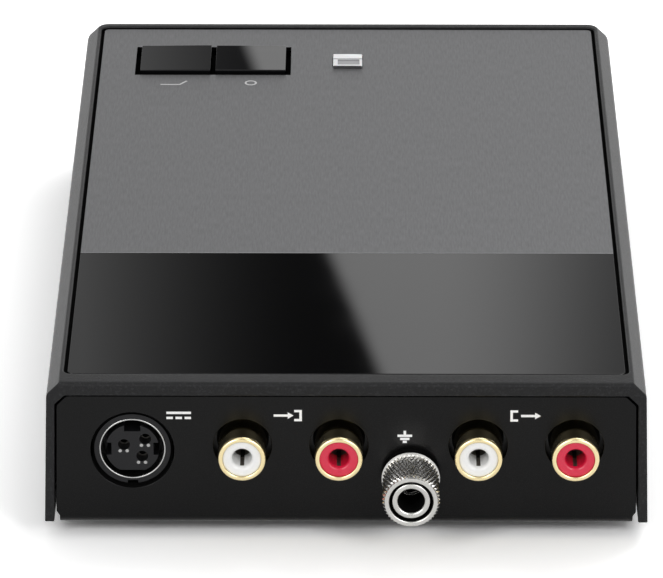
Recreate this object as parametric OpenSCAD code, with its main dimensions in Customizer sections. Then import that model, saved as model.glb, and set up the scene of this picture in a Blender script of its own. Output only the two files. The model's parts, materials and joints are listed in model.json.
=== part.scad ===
// Phono preamp: a low metal box with a bevelled cover, two push buttons and a lamp on
// its top, and its sockets and ground post on the rear panel.
// +Z is up and the rear panel faces +Y. The origin is on the surface that the feet
// stand on, under the middle of the whole, the ground post's reach included.

/* [Cover] */
// Width across the sides at the foot of the top bevel
cover_w = 102.3; // [100.3:0.5:116.3]
// Length from the open rear end to the front face at the foot of the bevel
cover_len = 165.15; // [160.15:1:190.15]
// Height from the lower edge of the walls to the top
cover_h = 26.5; // [25.5:0.5:32.5]
// Width and height of the bevel round the top
bevel = 2.2; // [1:0.1:2.5]
// How far the walls lean outwards from the bevel down to their lower edge
wall_flare = 0.7; // [0.45:0.05:1.5]
// How far the walls' inner faces lean outwards over the same height
inner_flare = 0.45; // [0.2:0.05:0.6]
// Radius of the two upright front corners at the foot of the bevel
corner_r = 4.2; // [3.8:0.1:8]
// Thickness of the side walls at the foot of the bevel
side_wall = 1.4; // [1.1:0.05:1.7]
// Thickness of the front wall at the foot of the bevel
front_wall = 1.6; // [1.2:0.1:2.4]
// Thickness of the top
top_wall = 2.4; // [2:0.1:3]
// Size of the bevel along the cavity's upper edges
cavity_bevel = 1.7; // [1:0.1:2.5]

/* [Top plates] */
// Depth of the recess that holds the two plates
recess_depth = 1.1; // [0.9:0.05:1.3]
// Radius of the recess's corners
recess_r = 1.6; // [1.3:0.1:2.4]
// Thickness of each plate
plate_t = 0.8; // [0.6:0.05:0.9]
// Gap between the plates and the recess's walls
plate_gap = 0.6; // [0.3:0.01:1]
// Gap between the two plates
plate_joint = 0.12; // [0.05:0.01:0.3]
// Flat rim between the recess and the bevel, at the sides
side_rim = 0.65; // [0.4:0.05:2]
// Flat rim between the recess and the bevel, at the front
front_rim = 1.6; // [0.8:0.1:3]
// Flat rim between the recess and the rear end
rear_rim = 3.9; // [2.4:0.05:6]
// Length of the gloss plate, at the rear end of the recess
gloss_len = 49.9; // [40:0.1:60]

/* [Buttons] */
// Width of a button cap
cap_w = 13.5; // [11:0.25:14]
// Depth of a button cap
cap_d = 12.25; // [10.5:0.25:14]
// How far the caps stand above the brushed plate
cap_proud = 0.65; // [0.3:0.05:1.5]
// Gap between the two caps, and from each cap to the window's edge
cap_gap = 1; // [0.7:0.05:1.5]
// Gap between a cap and the guide that it slides in
cap_clearance = 0.1; // [0.05:0.01:0.15]
// Travel of a button when it is pressed home
button_travel = 1.5; // [1:0.1:2]
// Distance from the plates' side edge to the middle of the button pair
button_side = 21.7; // [19.7:0.5:25.7]
// Distance of the buttons' middle from the cover's front face
button_setback = 20.5; // [16:0.1:24]
// Width and depth of a push switch's case
switch_w = 7.8; // [7.4:0.1:8.4]
// Height of a push switch's case
switch_h = 7; // [6.6:0.1:8]

/* [Lamp] */
// Width of the lens
lens_w = 5.65; // [4:0.05:8]
// Depth of the lens
lens_d = 6; // [3.6:0.05:7]
// How far the lens stands above the brushed plate
lens_proud = 0.6; // [0.1:0.05:1]
// Distance of the lens's middle from the cover's front face
lens_setback = 21.2; // [17:0.1:25]
// Diameter of the lamp under the lens
lamp_d = 3; // [2.5:0.1:3.4]

/* [Chassis] */
// Thickness of the folded sheet
sheet_t = 1; // [0.8:0.1:1.2]
// Outside radius of the fold between base and rear panel
fold_r = 1.6; // [1.25:0.05:1.8]
// How far the rear panel lies inside the cover's rear end
panel_inset = 0.5; // [0.2:0.1:2]
// Gap between the rear panel's edges and the cover
panel_gap = 0.32; // [0.1:0.01:0.35]
// Height of the rubber feet
foot_h = 2.9; // [2.1:0.1:7.1]
// Diameter of the rubber feet
foot_d = 11; // [8:0.5:12]
// How far the base reaches below the cover's walls
base_drop = 0.6; // [0.3:0.05:0.8]

/* [Sockets] */
// Height of the phono jacks' axis above the base's underside
jack_axis_h = 15.05; // [14.5:0.05:15.9]
// Distance between the two jacks of a pair
jack_pitch = 16.5; // [15:0.25:17]
// Outside diameter of a jack's shell
shell_d = 8.3; // [8.1:0.05:8.5]
// Inside diameter of a jack's shell
shell_bore = 6.9; // [6.6:0.1:7.2]
// How far a jack's shell stands out of the rear panel
shell_reach = 5.5; // [4:0.5:9]
// Bore of a jack's insulator and contact
pin_bore = 3.3; // [3.2:0.05:3.6]
// Diameter of the jack holes in the rear panel
jack_hole = 10; // [9.4:0.1:10.6]
// Distance of the output pair's middle from the cover's side, at the foot of the bevel
output_side = 20.35; // [18.15:0.1:20.85]
// Distance from the ground post to the input pair's middle
input_gap = 20.55; // [20.05:0.1:24.05]
// Distance of the power socket from the cover's middle
power_x = 36.6; // [35:0.1:36.8]
// Height of the power socket's axis above the base's underside
power_axis_h = 14.15; // [14.1:0.05:14.9]
// Diameter of the power socket's hole in the rear panel
power_hole = 14.4; // [13.8:0.1:15]
// Outside diameter of the power socket's shield
shield_d = 11.4; // [10.8:0.1:12]
// Thickness of the shield
shield_t = 0.28; // [0.2:0.02:0.4]
// Diameter of the power socket's insert
insert_d = 9.2; // [8:0.1:9.8]

/* [Ground post] */
// Distance from the output pair's middle to the post
post_gap = 19.75; // [19.65:0.05:20]
// Height of the post's axis above the base's underside
post_axis_h = 9.6; // [8.9:0.1:10.4]
// Diameter of the hollow post
post_d = 6.6; // [6:0.1:7]
// Bore of the hollow post
post_bore = 4.4; // [4:0.1:4.6]
// Diameter of the thumb nut
nut_d = 10; // [9:0.1:11]
// Length of the thumb nut
nut_len = 9; // [6:0.5:12]
// Thickness of the post's flange and of the pressure washer, each
washer_t = 0.8; // [0.5:0.1:1.2]
// Radial gap between the post's thread and what turns or slides on it
thread_fit = 0.05; // [0.03:0.01:0.1]

/* [Circuit board] */
// Height of the stand-offs between base and board
standoff_h = 4.7; // [4.6:0.1:4.9]
// Thickness of the board
board_t = 1.6; // [1.2:0.1:1.8]
// Distance from the board's side edges to the cavity's sides
board_gap = 5.75; // [3.6:0.05:6.2]
// Distance from the cover's middle to each DIP switch bank
dip_x = 18; // [14:0.5:20]
// Distance of the DIP switch banks from the cover's rear end
dip_setback = 66; // [62:1:68]
// Travel of a DIP slider
slider_travel = 1.4; // [1:0.1:1.6]

/* [Hidden] */

$fn = 64;
cut = 1;                 // how far a cutting solid runs past the face that it cuts
snug = 0.02;             // gap between round faces that are pressed together

// Heights
z_wall = foot_h + base_drop;
z_top = z_wall + cover_h;
z_under = z_top - top_wall;
z_recess = z_top - recess_depth;
z_plate = z_recess + plate_t;
z_base = foot_h + sheet_t;
z_board = z_base + standoff_h;
z_deck = z_board + board_t;          // upper face of the board
z_jack = foot_h + jack_axis_h;
z_power = foot_h + power_axis_h;
z_post = foot_h + post_axis_h;

// Lengths along Y
nut_reach = 2 * washer_t + nut_len - panel_inset;
y_end = (cover_len + wall_flare + nut_reach) / 2 - nut_reach;
y_front = y_end - cover_len;
y_panel = y_end - panel_inset;
y_panel_in = y_panel - sheet_t;
y_nut_end = y_end + nut_reach;
y_button = y_front + button_setback;
y_lens = y_front + lens_setback;
y_dip = y_end - dip_setback;

// Cover
outer_lean = wall_flare / (cover_h - bevel);
cavity_half = cover_w / 2 - side_wall;
cavity_foot_h = cover_h - top_wall - cavity_bevel;
inner_lean = inner_flare / cavity_foot_h;
recess_half = cover_w / 2 - bevel - side_rim;
y_recess_front = y_front + bevel + front_rim;
y_recess_rear = y_end - rear_rim;
plate_half = recess_half - plate_gap;
y_gloss_front = y_recess_rear - plate_gap - gloss_len;
button_x = plate_half - button_side;

// Bosses that take the cover screws
boss_d = 6.4;
boss_bore = 2.5;
boss_bore_h = 8;
boss_rib_t = 1.8;
boss_root = 0.5;         // how far the bosses run into the top
boss_inset = 4.15;       // from the cavity's side to the bosses' middle
boss_ends = [9.5, 24];   // from the front and the rear end to the bosses' middle
boss_x = cavity_half - boss_inset;
boss_ys = [y_front + boss_ends[0], y_end - boss_ends[1]];
boss_places = [for (x = [-boss_x, boss_x]) for (y = boss_ys) [x, y]];

// Window and lens hole through the plates and the top
window_w = 2 * cap_w + 3 * cap_gap;
window_d = cap_d + 2 * cap_gap;
window_margin = 0.4;     // by how much the cover's window is larger than the plate's
lens_gap = 0.1;

// Chassis
base_gap = 0.3;          // from the base's edges to the cavity's sides at the floor
fold_gap = 0.9;          // the same next to the fold
fold_relief = 5;         // length of the narrower stretch next to the fold
base_half = cavity_half + inner_flare - base_gap;
fold_half = cavity_half + inner_flare - fold_gap;
base_front_gap = 0.5;    // from the front wall's inner face to the base's front edge
y_base_front = y_front + front_wall + base_front_gap;
panel_corner_h = 2.4;    // height over the base's underside where the panel starts to widen
foot_inset = 11.75;      // from the cavity's side to the feet's middle
foot_end = 15;           // from the front and the rear end to the feet's middle
foot_edge = 0.6;         // bevel round the feet's lower edge
foot_x = cavity_half - foot_inset;
foot_ys = [y_front + foot_end, y_end - foot_end];
cover_screw_hole = 3.3;
cover_screw_len = 6;
cover_screw_head = [5.4, 1.6];    // diameter and height

// Push switches
cap_top = z_plate + cap_proud;
wing_h = 1;
wing_w = 8;
wing_d = 1.2;
guide_ledge = 2.2;       // height of the guide above the caps' wings
press_room = 0.3;        // room left below the wings when a cap is pressed home
guide_h = guide_ledge + wing_h + button_travel + press_room;
guide_wall = 1.4;
z_wing_top = z_under - guide_ledge;
z_cap = z_wing_top - wing_h;
cap_wall = 1.3;
cap_roof = 1.6;          // thickness of a cap's top
stem_root = 0.6;         // how far the stem runs into the cap's top
stem_d = 5.5;
tip_w = 2.4;
tip_h = 2.4;
neck_w = 3.2;
neck_h = button_travel + 1.1;
switch_wall = 0.9;
switch_floor = 1;
switch_foot_w = 5.2;
switch_foot_h = 1.2;
slide_fit = 0.08;        // gap on each side of the plunger's neck
z_switch = z_deck + switch_h;
z_neck = z_switch + neck_h;
z_foot_top = z_switch - switch_wall;
spring_d = 4.4;
spring_wire = 0.4;
spring_turns = 3.5;
switch_pin_dx = 2.5;     // between the pins of a push switch, across
switch_pin_dy = 2.9;     // from a push switch's middle to its two rows of pins

// Jacks
output_x = output_side - cover_w / 2;
post_x = output_x + post_gap;
input_x = post_x + input_gap;
panel_space = 2.4;       // from the rear panel to the jack blocks' faces
y_block = y_panel_in - panel_space;
block_d = 11;
flange_d = 8.9;          // flange of a jack's shell on its block
block_side = 6.2;        // from a jack's axis to its block's side
block_rise = 6.2;        // from the jacks' axis to the top of the block
y_shell_tip = y_panel + shell_reach;
insulator_inset = 0.4;
contact_inset = 5.1;     // from the shell's tip to the contact
contact_wall = 0.4;
contact_slot = 0.7;      // width of the slot along the sleeve's lower side
tail_w = 1.2;
shell_tab = [2, 0.5];    // ground tab of a shell: width, and thickness of tab and flange
tab_room = [0.2, 0.3];   // gap round the tab in the board, across and along Y
mouth_bevel = [0.3, 0.3];         // bevel of a shell's or the post's mouth: width and depth
input_jacks = [input_x + jack_pitch / 2, input_x - jack_pitch / 2];
output_jacks = [output_x + jack_pitch / 2, output_x - jack_pitch / 2];

// Power socket
power_collar_d = 13.1;
power_inset = 0.55;      // from the rear panel's face to the socket's collar
power_depth = 12;
power_well = 6;          // depth of the well round the insert
sleeve_inset = 2;        // from the insert's face to the contact sleeves
sleeve_wall = 0.35;
power_body_w = 13.6;
power_hole_d = 2;
power_pin_places = [[1.45, 0.8], [-2.2, 1.85], [-1.65, -1.4]];
power_key = [2.8, 1.3];
power_notch = [1, 2.3];
power_collar_slot = [1.8, 1.2];   // slot at the bottom of the collar: width and depth along Y
power_collar_root = 0.5; // length of the collar inside the rear panel's inner face
power_skirt = [0.5, 0.5];         // reach below the rear panel's hole, and thickness
power_hole_end = 2;      // from the socket's back to the ends of its contact holes
insert_flat = 4.05;      // from the socket's axis to the insert's flat
y_power_face = y_panel - power_inset;
y_power_back = y_panel_in - power_depth;
y_well = y_power_face - power_well;

// Ground post
tag_t = 0.5;
lock_nut_af = 9;
lock_nut_t = 2.6;
post_tail = 7;           // from the rear panel to the post's inner end
post_face_inset = 0.3;   // from the thumb nut's face to the post's end
nut_recess_d = 7.5;
nut_recess = 2.5;
nut_edge = 0.4;
post_blind = 14;         // depth of the post's bore
notch_half = 7;          // half the width of the board's notch round the post
notch_depth = 11;

// DIP switches
dip_pitch = 2.54;
dip_count = 4;
dip_len = dip_count * dip_pitch + 1.4;
dip_w = 6.4;
dip_h = 3.2;
dip_floor = 0.8;
dip_pin_dy = 2.5;        // from a DIP case's middle to its two rows of pins
nub_w = 1.1;
nub_d = 1.1;
nub_proud = 0.3;
slider_foot_w = 1.8;
slider_foot_d = 2;
slider_foot_h = 0.9;
slider_fit = 0.1;
window_gap = 0.6;        // from a DIP case to its window's edge

// Board
standoff_af = 5;
board_screw_d = 2.4;
board_screw_hole = 2.8;
board_screw_grip = 3;    // how far the board screws reach below the board
board_screw_head = [4.6, 1.7];    // diameter and height
board_half = cavity_half - board_gap;
board_screw_inset = 6;   // from the board's side edges to the board screws
board_screw_ends = [33, 28];      // from the front and the rear end to the board screws
board_xs = [board_screw_inset - board_half, board_half - board_screw_inset];
board_ys = [y_front + board_screw_ends[0], y_end - board_screw_ends[1]];
board_front_gap = 2;     // from the front wall's inner face to the board
board_rear_gap = 0.6;    // from the board to the rear panel's inner face
y_board_front = y_front + front_wall + board_front_gap;
y_board_rear = y_panel_in - board_rear_gap;
boss_room = 0.5;         // gap between the cover's bosses and the board
pin_w = 0.6;
pin_hole = 1.1;
pin_proud = 1;           // how far pins stand below the board
lamp_pin_dx = 1.27;      // from the lamp's middle to its two pins
reservoir_pin_dx = 2.5;  // from a reservoir capacitor's middle to its two pins

// Pin places on the board
button_xs = [button_x - (cap_w + cap_gap) / 2, button_x + (cap_w + cap_gap) / 2];
switch_pins = [for (x = button_xs) for (i = [-1 : 1]) for (row = [-1, 1])
    [x + i * switch_pin_dx, y_button + row * switch_pin_dy]];
dip_pins = [for (side = [-1, 1]) for (i = [0 : dip_count - 1]) for (row = [-1, 1])
    [side * dip_x + slider_dx(i), y_dip + row * dip_pin_dy]];
jack_xs = concat(input_jacks, output_jacks);
y_tail = y_block - block_d - tail_w;
tail_pins = [for (x = jack_xs) [x, y_tail + tail_w / 2]];
lamp_pins = [for (side = [-1, 1]) [side * lamp_pin_dx, y_lens]];
reservoir_places = [for (across = [0.52, 0.8]) for (along = [0.24, 0.43])
    [column(across), rear_row(along)]];
reservoir_pins = [for (p = reservoir_places) for (side = [-1, 1])
    [p[0] + side * reservoir_pin_dx, p[1]]];
power_tail_y = y_power_back - pin_w;
power_tail_spread = 1.6; // the tails stand this many times as far apart as the contacts
power_pins = [for (p = power_pin_places) [power_x + p[0] * power_tail_spread, power_tail_y]];

// Parts on the board
reservoir_d = 10;
reservoir_h = 14;
coupling_d = 6.3;
coupling_h = 11;
film_w = 5;
film_d = 10;
film_h = 9;
relay_w = 9.2;
relay_d = 14;
relay_h = 8;
lamp_h = 5.3;
pipe_gap = 0.5;          // from the lamp to the lens's stem
resistor_front = 9;      // from the board's front edge to the first row of resistors
resistor_pitch = 4;
resistor_size = [6.3, 2.4];       // length and diameter
diode_size = [5.2, 2.6];

function slider_dx(i) = (i - (dip_count - 1) / 2) * dip_pitch;

// Columns of parts by their share of half the board's width, and rows by their share of
// the way from the board's front edge to the DIP banks, or from those to the rear end
function column(share) = share * board_half;
function front_row(share) = y_board_front + share * (y_dip - y_board_front);
function rear_row(share) = y_dip + share * (y_end - y_dip);

// ---------- shapes used by several pieces ----------

module box(x0, x1, y0, y1, z0, z1) {
    translate([x0, y0, z0]) cube([x1 - x0, y1 - y0, z1 - z0]);
}

// Box of width w and depth d centred on x, y
module post_box(x, y, w, d, z0, z1) {
    box(x - w / 2, x + w / 2, y - d / 2, y + d / 2, z0, z1);
}

module rod_y(x, z, y0, y1, d) {
    translate([x, y0, z]) rotate([-90, 0, 0]) cylinder(d = d, h = y1 - y0);
}

module tube_y(x, z, y0, y1, outer_d, inner_d) {
    difference() {
        rod_y(x, z, y0, y1, outer_d);
        rod_y(x, z, y0 - cut, y1 + cut, inner_d);
    }
}

// Cut that bevels the mouth of a bore d whose end face lies at y
module mouth_cut(x, y, z, d) {
    slope = mouth_bevel[0] / mouth_bevel[1];
    translate([x, y - mouth_bevel[1], z]) rotate([-90, 0, 0])
        cylinder(d1 = d, d2 = d + 2 * slope * (mouth_bevel[1] + cut), h = mouth_bevel[1] + cut);
}

module square_rod_y(x, z, y0, y1, w) {
    box(x - w / 2, x + w / 2, y0, y1, z - w / 2, z + w / 2);
}

module pins(places, z0, z1) {
    for (p = places) post_box(p[0], p[1], pin_w, pin_w, z0, z1);
}

module pin_holes(places) {
    for (p = places) translate([p[0], p[1], z_board - cut])
        cylinder(d = pin_hole, h = board_t + 2 * cut, $fn = 24);
}

// Length to the nearest tenth of a micron, for faces that have to meet exactly
function exact(length) = round(length * 10000) / 10000;

// Solid with leaning walls, a bevelled top and two round upright front corners
module leaning_block(half, y_f, y_r, r, c, lean, z_lo, z_hi) {
    z_foot = z_hi - c;
    flare = exact(lean * (z_foot - z_lo));
    translate([0, y_r, 0]) rotate([90, 0, 0]) linear_extrude(y_r - y_f - r)
        polygon([[-half - flare, z_lo], [half + flare, z_lo], [half, z_foot],
            [half - c, z_hi], [c - half, z_hi], [-half, z_foot]]);
    translate([r - half, 0, 0]) rotate([90, 0, 90]) linear_extrude(2 * (half - r))
        polygon([[y_f - flare, z_lo], [y_f + r, z_lo], [y_f + r, z_hi], [y_f + c, z_hi],
            [y_f, z_foot]]);
    for (side = [-1, 1]) translate([side * (half - r), y_f + r, 0]) rotate_extrude()
        polygon([[0, z_lo], [r + flare, z_lo], [r, z_foot], [r - c, z_hi], [0, z_hi]]);
}

// Screw with a pan head of the given diameter and height; it points along +Z, with the
// head's top at z = 0
module pan_screw(d, length, head) {
    slot_w = 0.6;
    difference() {
        union() {
            translate([0, 0, -head[1] - length]) cylinder(d = d, h = length);
            translate([0, 0, -head[1]]) cylinder(d1 = head[0], d2 = head[0] * 0.8, h = head[1]);
        }
        for (turn = [0, 90]) rotate(turn)
            post_box(0, 0, head[0] * 0.55, slot_w, -head[1] * 0.6, cut);
    }
}

// ---------- enclosure ----------

// Slab with the recess's outline and round corners, drawn in by inset
module recess_slab(inset, z0, z1) {
    r = recess_r - inset;
    half = recess_half - inset;
    y0 = y_recess_front + inset;
    y1 = y_recess_rear - inset;
    translate([0, 0, z0]) linear_extrude(z1 - z0) {
        translate([-half, y0 + r]) square([2 * half, y1 - y0 - 2 * r]);
        translate([r - half, y0]) square([2 * (half - r), y1 - y0]);
        for (x = [r - half, half - r]) for (y = [y0 + r, y1 - r]) translate([x, y]) circle(r = r);
    }
}

module cover() {
    color("#4a4b4e") difference() {
        union() {
            difference() {
                leaning_block(cover_w / 2, y_front, y_end, corner_r, bevel, outer_lean, z_wall, z_top);
                leaning_block(cavity_half, y_front + front_wall, y_end + cut, corner_r - side_wall,
                    cavity_bevel, inner_lean, z_wall - cut, z_under);
            }
            for (p = boss_places) cover_boss(p);
        }
        recess_slab(0, z_recess, z_top + cut);
        post_box(button_x, y_button, window_w + 2 * window_margin, window_d + 2 * window_margin,
            z_under - cut, z_top);
        post_box(0, y_lens, lens_w + 2 * lens_gap, lens_d + 2 * lens_gap, z_under - cut, z_top);
        for (p = boss_places) translate([p[0], p[1], z_base - cut])
            cylinder(d = boss_bore, h = boss_bore_h + cut);
    }
}

// Boss from the base up to the cover's underside, with a rib to the side wall
module cover_boss(p) {
    side = sign(p[0]);
    rib_end = cover_w / 2 - side_wall / 2;
    translate([p[0], p[1], z_base]) cylinder(d = boss_d, h = z_under - z_base + boss_root);
    box(min(p[0], side * rib_end), max(p[0], side * rib_end), p[1] - boss_rib_t / 2,
        p[1] + boss_rib_t / 2, z_deck, z_under - cavity_bevel);
}

function panel_half(z) = cavity_half - panel_gap + inner_lean * (z_under - cavity_bevel - z);

// Flat part of the chassis, round at the two front corners like the cavity above it
module chassis_floor() {
    r = corner_r - side_wall;
    box(-base_half, base_half, y_base_front + r, y_panel - fold_relief, foot_h, z_base);
    box(-fold_half, fold_half, y_panel - fold_relief, y_panel - fold_r, foot_h, z_base);
    box(r - base_half, base_half - r, y_base_front, y_base_front + r, foot_h, z_base);
    for (side = [-1, 1]) translate([side * (base_half - r), y_base_front + r, foot_h])
        cylinder(r = r, h = sheet_t);
}

module chassis() {
    z_cut = foot_h + panel_corner_h;
    z_shoulder = z_under - cavity_bevel - panel_gap;
    color("#2b2b2d") difference() {
        union() {
            chassis_floor();
            translate([-fold_half, y_panel - fold_r, foot_h + fold_r]) rotate([90, 0, 90])
                linear_extrude(2 * fold_half) intersection() {
                    difference() {
                        circle(r = fold_r);
                        circle(r = fold_r - sheet_t);
                    }
                    translate([0, -fold_r]) square(fold_r);
                }
            translate([0, y_panel, 0]) rotate([90, 0, 0]) linear_extrude(sheet_t) polygon([
                [-fold_half, foot_h + fold_r], [fold_half, foot_h + fold_r],
                [panel_half(z_cut), z_cut], [panel_half(z_shoulder), z_shoulder],
                [cavity_half - cavity_bevel - panel_gap, z_under - panel_gap],
                [-cavity_half + cavity_bevel + panel_gap, z_under - panel_gap],
                [-panel_half(z_shoulder), z_shoulder], [-panel_half(z_cut), z_cut]]);
        }
        rod_y(power_x, z_power, y_panel_in - cut, y_panel + cut, power_hole);
        for (x = jack_xs) rod_y(x, z_jack, y_panel_in - cut, y_panel + cut, jack_hole);
        rod_y(post_x, z_post, y_panel_in - cut, y_panel + cut, post_d + 2 * thread_fit);
        for (side = [-1, 1]) post_box(side * dip_x, y_dip, dip_len + 2 * window_gap,
            dip_w + 2 * window_gap, foot_h - cut, z_base + cut);
        for (p = boss_places) translate([p[0], p[1], foot_h - cut])
            cylinder(d = cover_screw_hole, h = sheet_t + 2 * cut);
    }
}

// Part of the plates' slab from y0 to y1
module plate(y0, y1) {
    intersection() {
        recess_slab(plate_gap, z_recess, z_plate);
        box(-cover_w, cover_w, y0, y1, z_recess - cut, z_plate + cut);
    }
}

module brushed_plate() {
    color("#6c6c6b") difference() {
        plate(y_front, y_gloss_front - plate_joint);
        post_box(button_x, y_button, window_w, window_d, z_recess - cut, z_plate + cut);
        post_box(0, y_lens, lens_w + 2 * lens_gap, lens_d + 2 * lens_gap, z_recess - cut, z_plate + cut);
    }
}

module gloss_plate() {
    color("#161617") plate(y_gloss_front, y_end);
}

module rubber_feet() {
    color("#1c1c1c") for (x = [-foot_x, foot_x]) for (y = foot_ys) translate([x, y, 0])
        rotate_extrude() polygon([[0, 0], [foot_d / 2 - foot_edge, 0], [foot_d / 2, foot_edge],
            [foot_d / 2, foot_h], [0, foot_h]]);
}

module cover_screws() {
    z_head = foot_h - snug - cover_screw_head[1];
    color("#3a3a3c") for (p = boss_places) translate([p[0], p[1], z_head]) mirror([0, 0, 1])
        pan_screw(boss_bore - 2 * snug, cover_screw_len, cover_screw_head);
}

module board_standoffs() {
    color("#c9c4b4") for (x = board_xs) for (y = board_ys) translate([x, y, z_base]) difference() {
        cylinder(d = standoff_af / cos(30), h = standoff_h, $fn = 6);
        translate([0, 0, -cut]) cylinder(d = board_screw_d + 2 * snug, h = standoff_h + 2 * cut);
    }
}

module board_screws() {
    color("#c9c9cc") for (x = board_xs) for (y = board_ys)
        translate([x, y, z_deck + board_screw_head[1]])
            pan_screw(board_screw_d, board_t + board_screw_grip, board_screw_head);
}

// ---------- buttons and lamp ----------

module button_guide() {
    pocket_w = cap_w + 2 * cap_clearance;
    pocket_d = cap_d + 2 * (wing_d + cap_clearance);
    outer_w = 2 * cap_w + cap_gap + 2 * (cap_clearance + guide_wall);
    color("#222224") difference() {
        post_box(button_x, y_button, outer_w, pocket_d + 2 * guide_wall, z_under - guide_h, z_under);
        for (x = button_xs) {
            post_box(x, y_button, pocket_w, cap_d + 2 * cap_clearance, z_under - guide_h - cut,
                z_under + cut);
            post_box(x, y_button, wing_w + 2 * cap_clearance, pocket_d, z_under - guide_h - cut,
                z_wing_top);
        }
    }
}

// Cap with two stop wings, hollow below, with a stem that sits on the switch's plunger
module button_cap(x) {
    color("#141416") difference() {
        union() {
            difference() {
                post_box(x, y_button, cap_w, cap_d, z_cap, cap_top);
                post_box(x, y_button, cap_w - 2 * cap_wall, cap_d - 2 * cap_wall, z_cap - cut,
                    cap_top - cap_roof);
            }
            for (side = [-1, 1]) post_box(x, y_button + side * (cap_d / 2 + wing_d / 2 - cap_wall / 2),
                wing_w, wing_d + cap_wall, z_cap, z_wing_top);
            translate([x, y_button, z_neck])
                cylinder(d = stem_d, h = cap_top - cap_roof + stem_root - z_neck);
        }
        post_box(x, y_button, tip_w + 2 * slide_fit, tip_w + 2 * slide_fit, z_neck - cut,
            z_neck + tip_h + slide_fit);
    }
}

module plunger(x) {
    color("#e4e2da") {
        post_box(x, y_button, switch_foot_w, switch_foot_w, z_foot_top - switch_foot_h, z_foot_top);
        post_box(x, y_button, neck_w, neck_w, z_foot_top, z_neck);
        post_box(x, y_button, tip_w, tip_w, z_neck, z_neck + tip_h);
    }
}

module push_switch(x) {
    inner = switch_w - 2 * switch_wall;
    color("#2f4f8f") difference() {
        union() {
            post_box(x, y_button, switch_w, switch_w, z_deck, z_switch);
            for (p = switch_pins) if (abs(p[0] - x) < switch_w / 2)
                pins([p], z_board - pin_proud, z_deck + switch_floor / 2);
        }
        post_box(x, y_button, inner, inner, z_deck + switch_floor, z_foot_top);
        post_box(x, y_button, neck_w + 2 * slide_fit, neck_w + 2 * slide_fit, z_foot_top - cut,
            z_switch + cut);
    }
}

// Coil spring along Z: rings of points carried round a helix
module coil_spring(x, z0, z1) {
    sides = 6;
    rings = 14 * spring_turns;
    wire_r = spring_wire / 2;
    helix_r = (spring_d - spring_wire) / 2;
    rise = z1 - z0 - spring_wire - 2 * snug;
    points = [for (i = [0 : rings]) for (j = [0 : sides - 1])
        let (turn = 360 * spring_turns * i / rings, around = 360 * j / sides,
            r = helix_r + wire_r * cos(around))
        [r * cos(turn), r * sin(turn), wire_r + snug + rise * i / rings + wire_r * sin(around)]];
    walls = [for (i = [0 : rings - 1]) for (j = [0 : sides - 1])
        let (next = (j + 1) % sides)
        [i * sides + j, (i + 1) * sides + j, (i + 1) * sides + next, i * sides + next]];
    ends = [[for (j = [0 : sides - 1]) j], [for (j = [sides - 1 : -1 : 0]) rings * sides + j]];
    color("#c8c8cc") translate([x, y_button, z0]) polyhedron(points, concat(walls, ends));
}

module button_spring(x) {
    coil_spring(x, z_deck + switch_floor, z_foot_top - switch_foot_h);
}

module indicator_lens() {
    pipe_w = lens_w - 1.4;
    pipe_d = lens_d - 1.2;
    flange = 1;                       // reach of the lens's flange under the cover's top
    flange_t = 1.2;
    color([0.92, 0.95, 0.96, 0.6]) {
        post_box(0, y_lens, lens_w, lens_d, z_under, z_plate + lens_proud);
        post_box(0, y_lens, lens_w + 2 * flange, lens_d + 2 * flange, z_under - flange_t, z_under);
        post_box(0, y_lens, pipe_w, pipe_d, z_deck + lamp_h + pipe_gap, z_under - flange_t);
    }
}

module indicator_lamp() {
    rim_h = 1;
    rim = 0.4;
    color("#e8f0f5") translate([0, y_lens, z_deck]) {
        cylinder(d = lamp_d + 2 * rim, h = rim_h);
        cylinder(d = lamp_d, h = lamp_h - lamp_d / 2);
        translate([0, 0, lamp_h - lamp_d / 2]) sphere(d = lamp_d);
    }
    color("#c8c8cc") pins(lamp_pins, z_board - pin_proud, z_deck);
}

// ---------- sockets ----------

// Body with a round well and a skirt behind the panel, over the board's rear edge; the
// contacts' holes go on through the well's floor
module power_socket() {
    color("#26262a") difference() {
        union() {
            box(power_x - power_body_w / 2, power_x + power_body_w / 2, y_power_back, y_panel_in,
                z_deck, z_power + power_body_w / 2);
            box(power_x - power_body_w / 2, power_x + power_body_w / 2, y_panel_in - power_skirt[1],
                y_panel_in, z_power - power_hole / 2 - power_skirt[0], z_deck);
            rod_y(power_x, z_power, y_panel_in - power_collar_root, y_power_face, power_collar_d);
        }
        rod_y(power_x, z_power, y_well, y_power_face + cut, shield_d + 2 * snug);
        for (p = power_pin_places) {
            rod_y(power_x + p[0], z_power + p[1], y_power_back + power_hole_end, y_well + cut,
                power_hole_d);
            square_rod_y(power_x + p[0], z_power + p[1], y_power_back - cut, y_well, pin_w + 2 * snug);
        }
        post_box(power_x, y_power_face, power_collar_slot[0], 2 * power_collar_slot[1], z_deck,
            z_power - shield_d / 2 - shield_t);
    }
}

// Insert on the well's floor, with a flat below, a key slot above and a notch on each side
module power_insert() {
    color("#26262a") difference() {
        rod_y(power_x, z_power, y_well, y_power_face, insert_d);
        box(power_x - insert_d, power_x + insert_d, y_well - cut, y_power_face + cut,
            z_power - insert_d, z_power - insert_flat);
        box(power_x - power_key[0] / 2, power_x + power_key[0] / 2, y_well - cut,
            y_power_face + cut, z_power + insert_d / 2 - power_key[1], z_power + insert_d);
        for (side = [-1, 1]) post_box(power_x + side * insert_d / 2, y_well + power_well / 2,
            2 * power_notch[0], power_well + 2 * cut, z_power - power_notch[1] / 2,
            z_power + power_notch[1] / 2);
        for (p = power_pin_places) rod_y(power_x + p[0], z_power + p[1], y_well - cut,
            y_power_face + cut, power_hole_d);
    }
}

module power_shield() {
    color("#d4d4d6") tube_y(power_x, z_power, y_well + snug, y_power_face + 0.05, shield_d,
        shield_d - 2 * shield_t);
}

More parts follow.
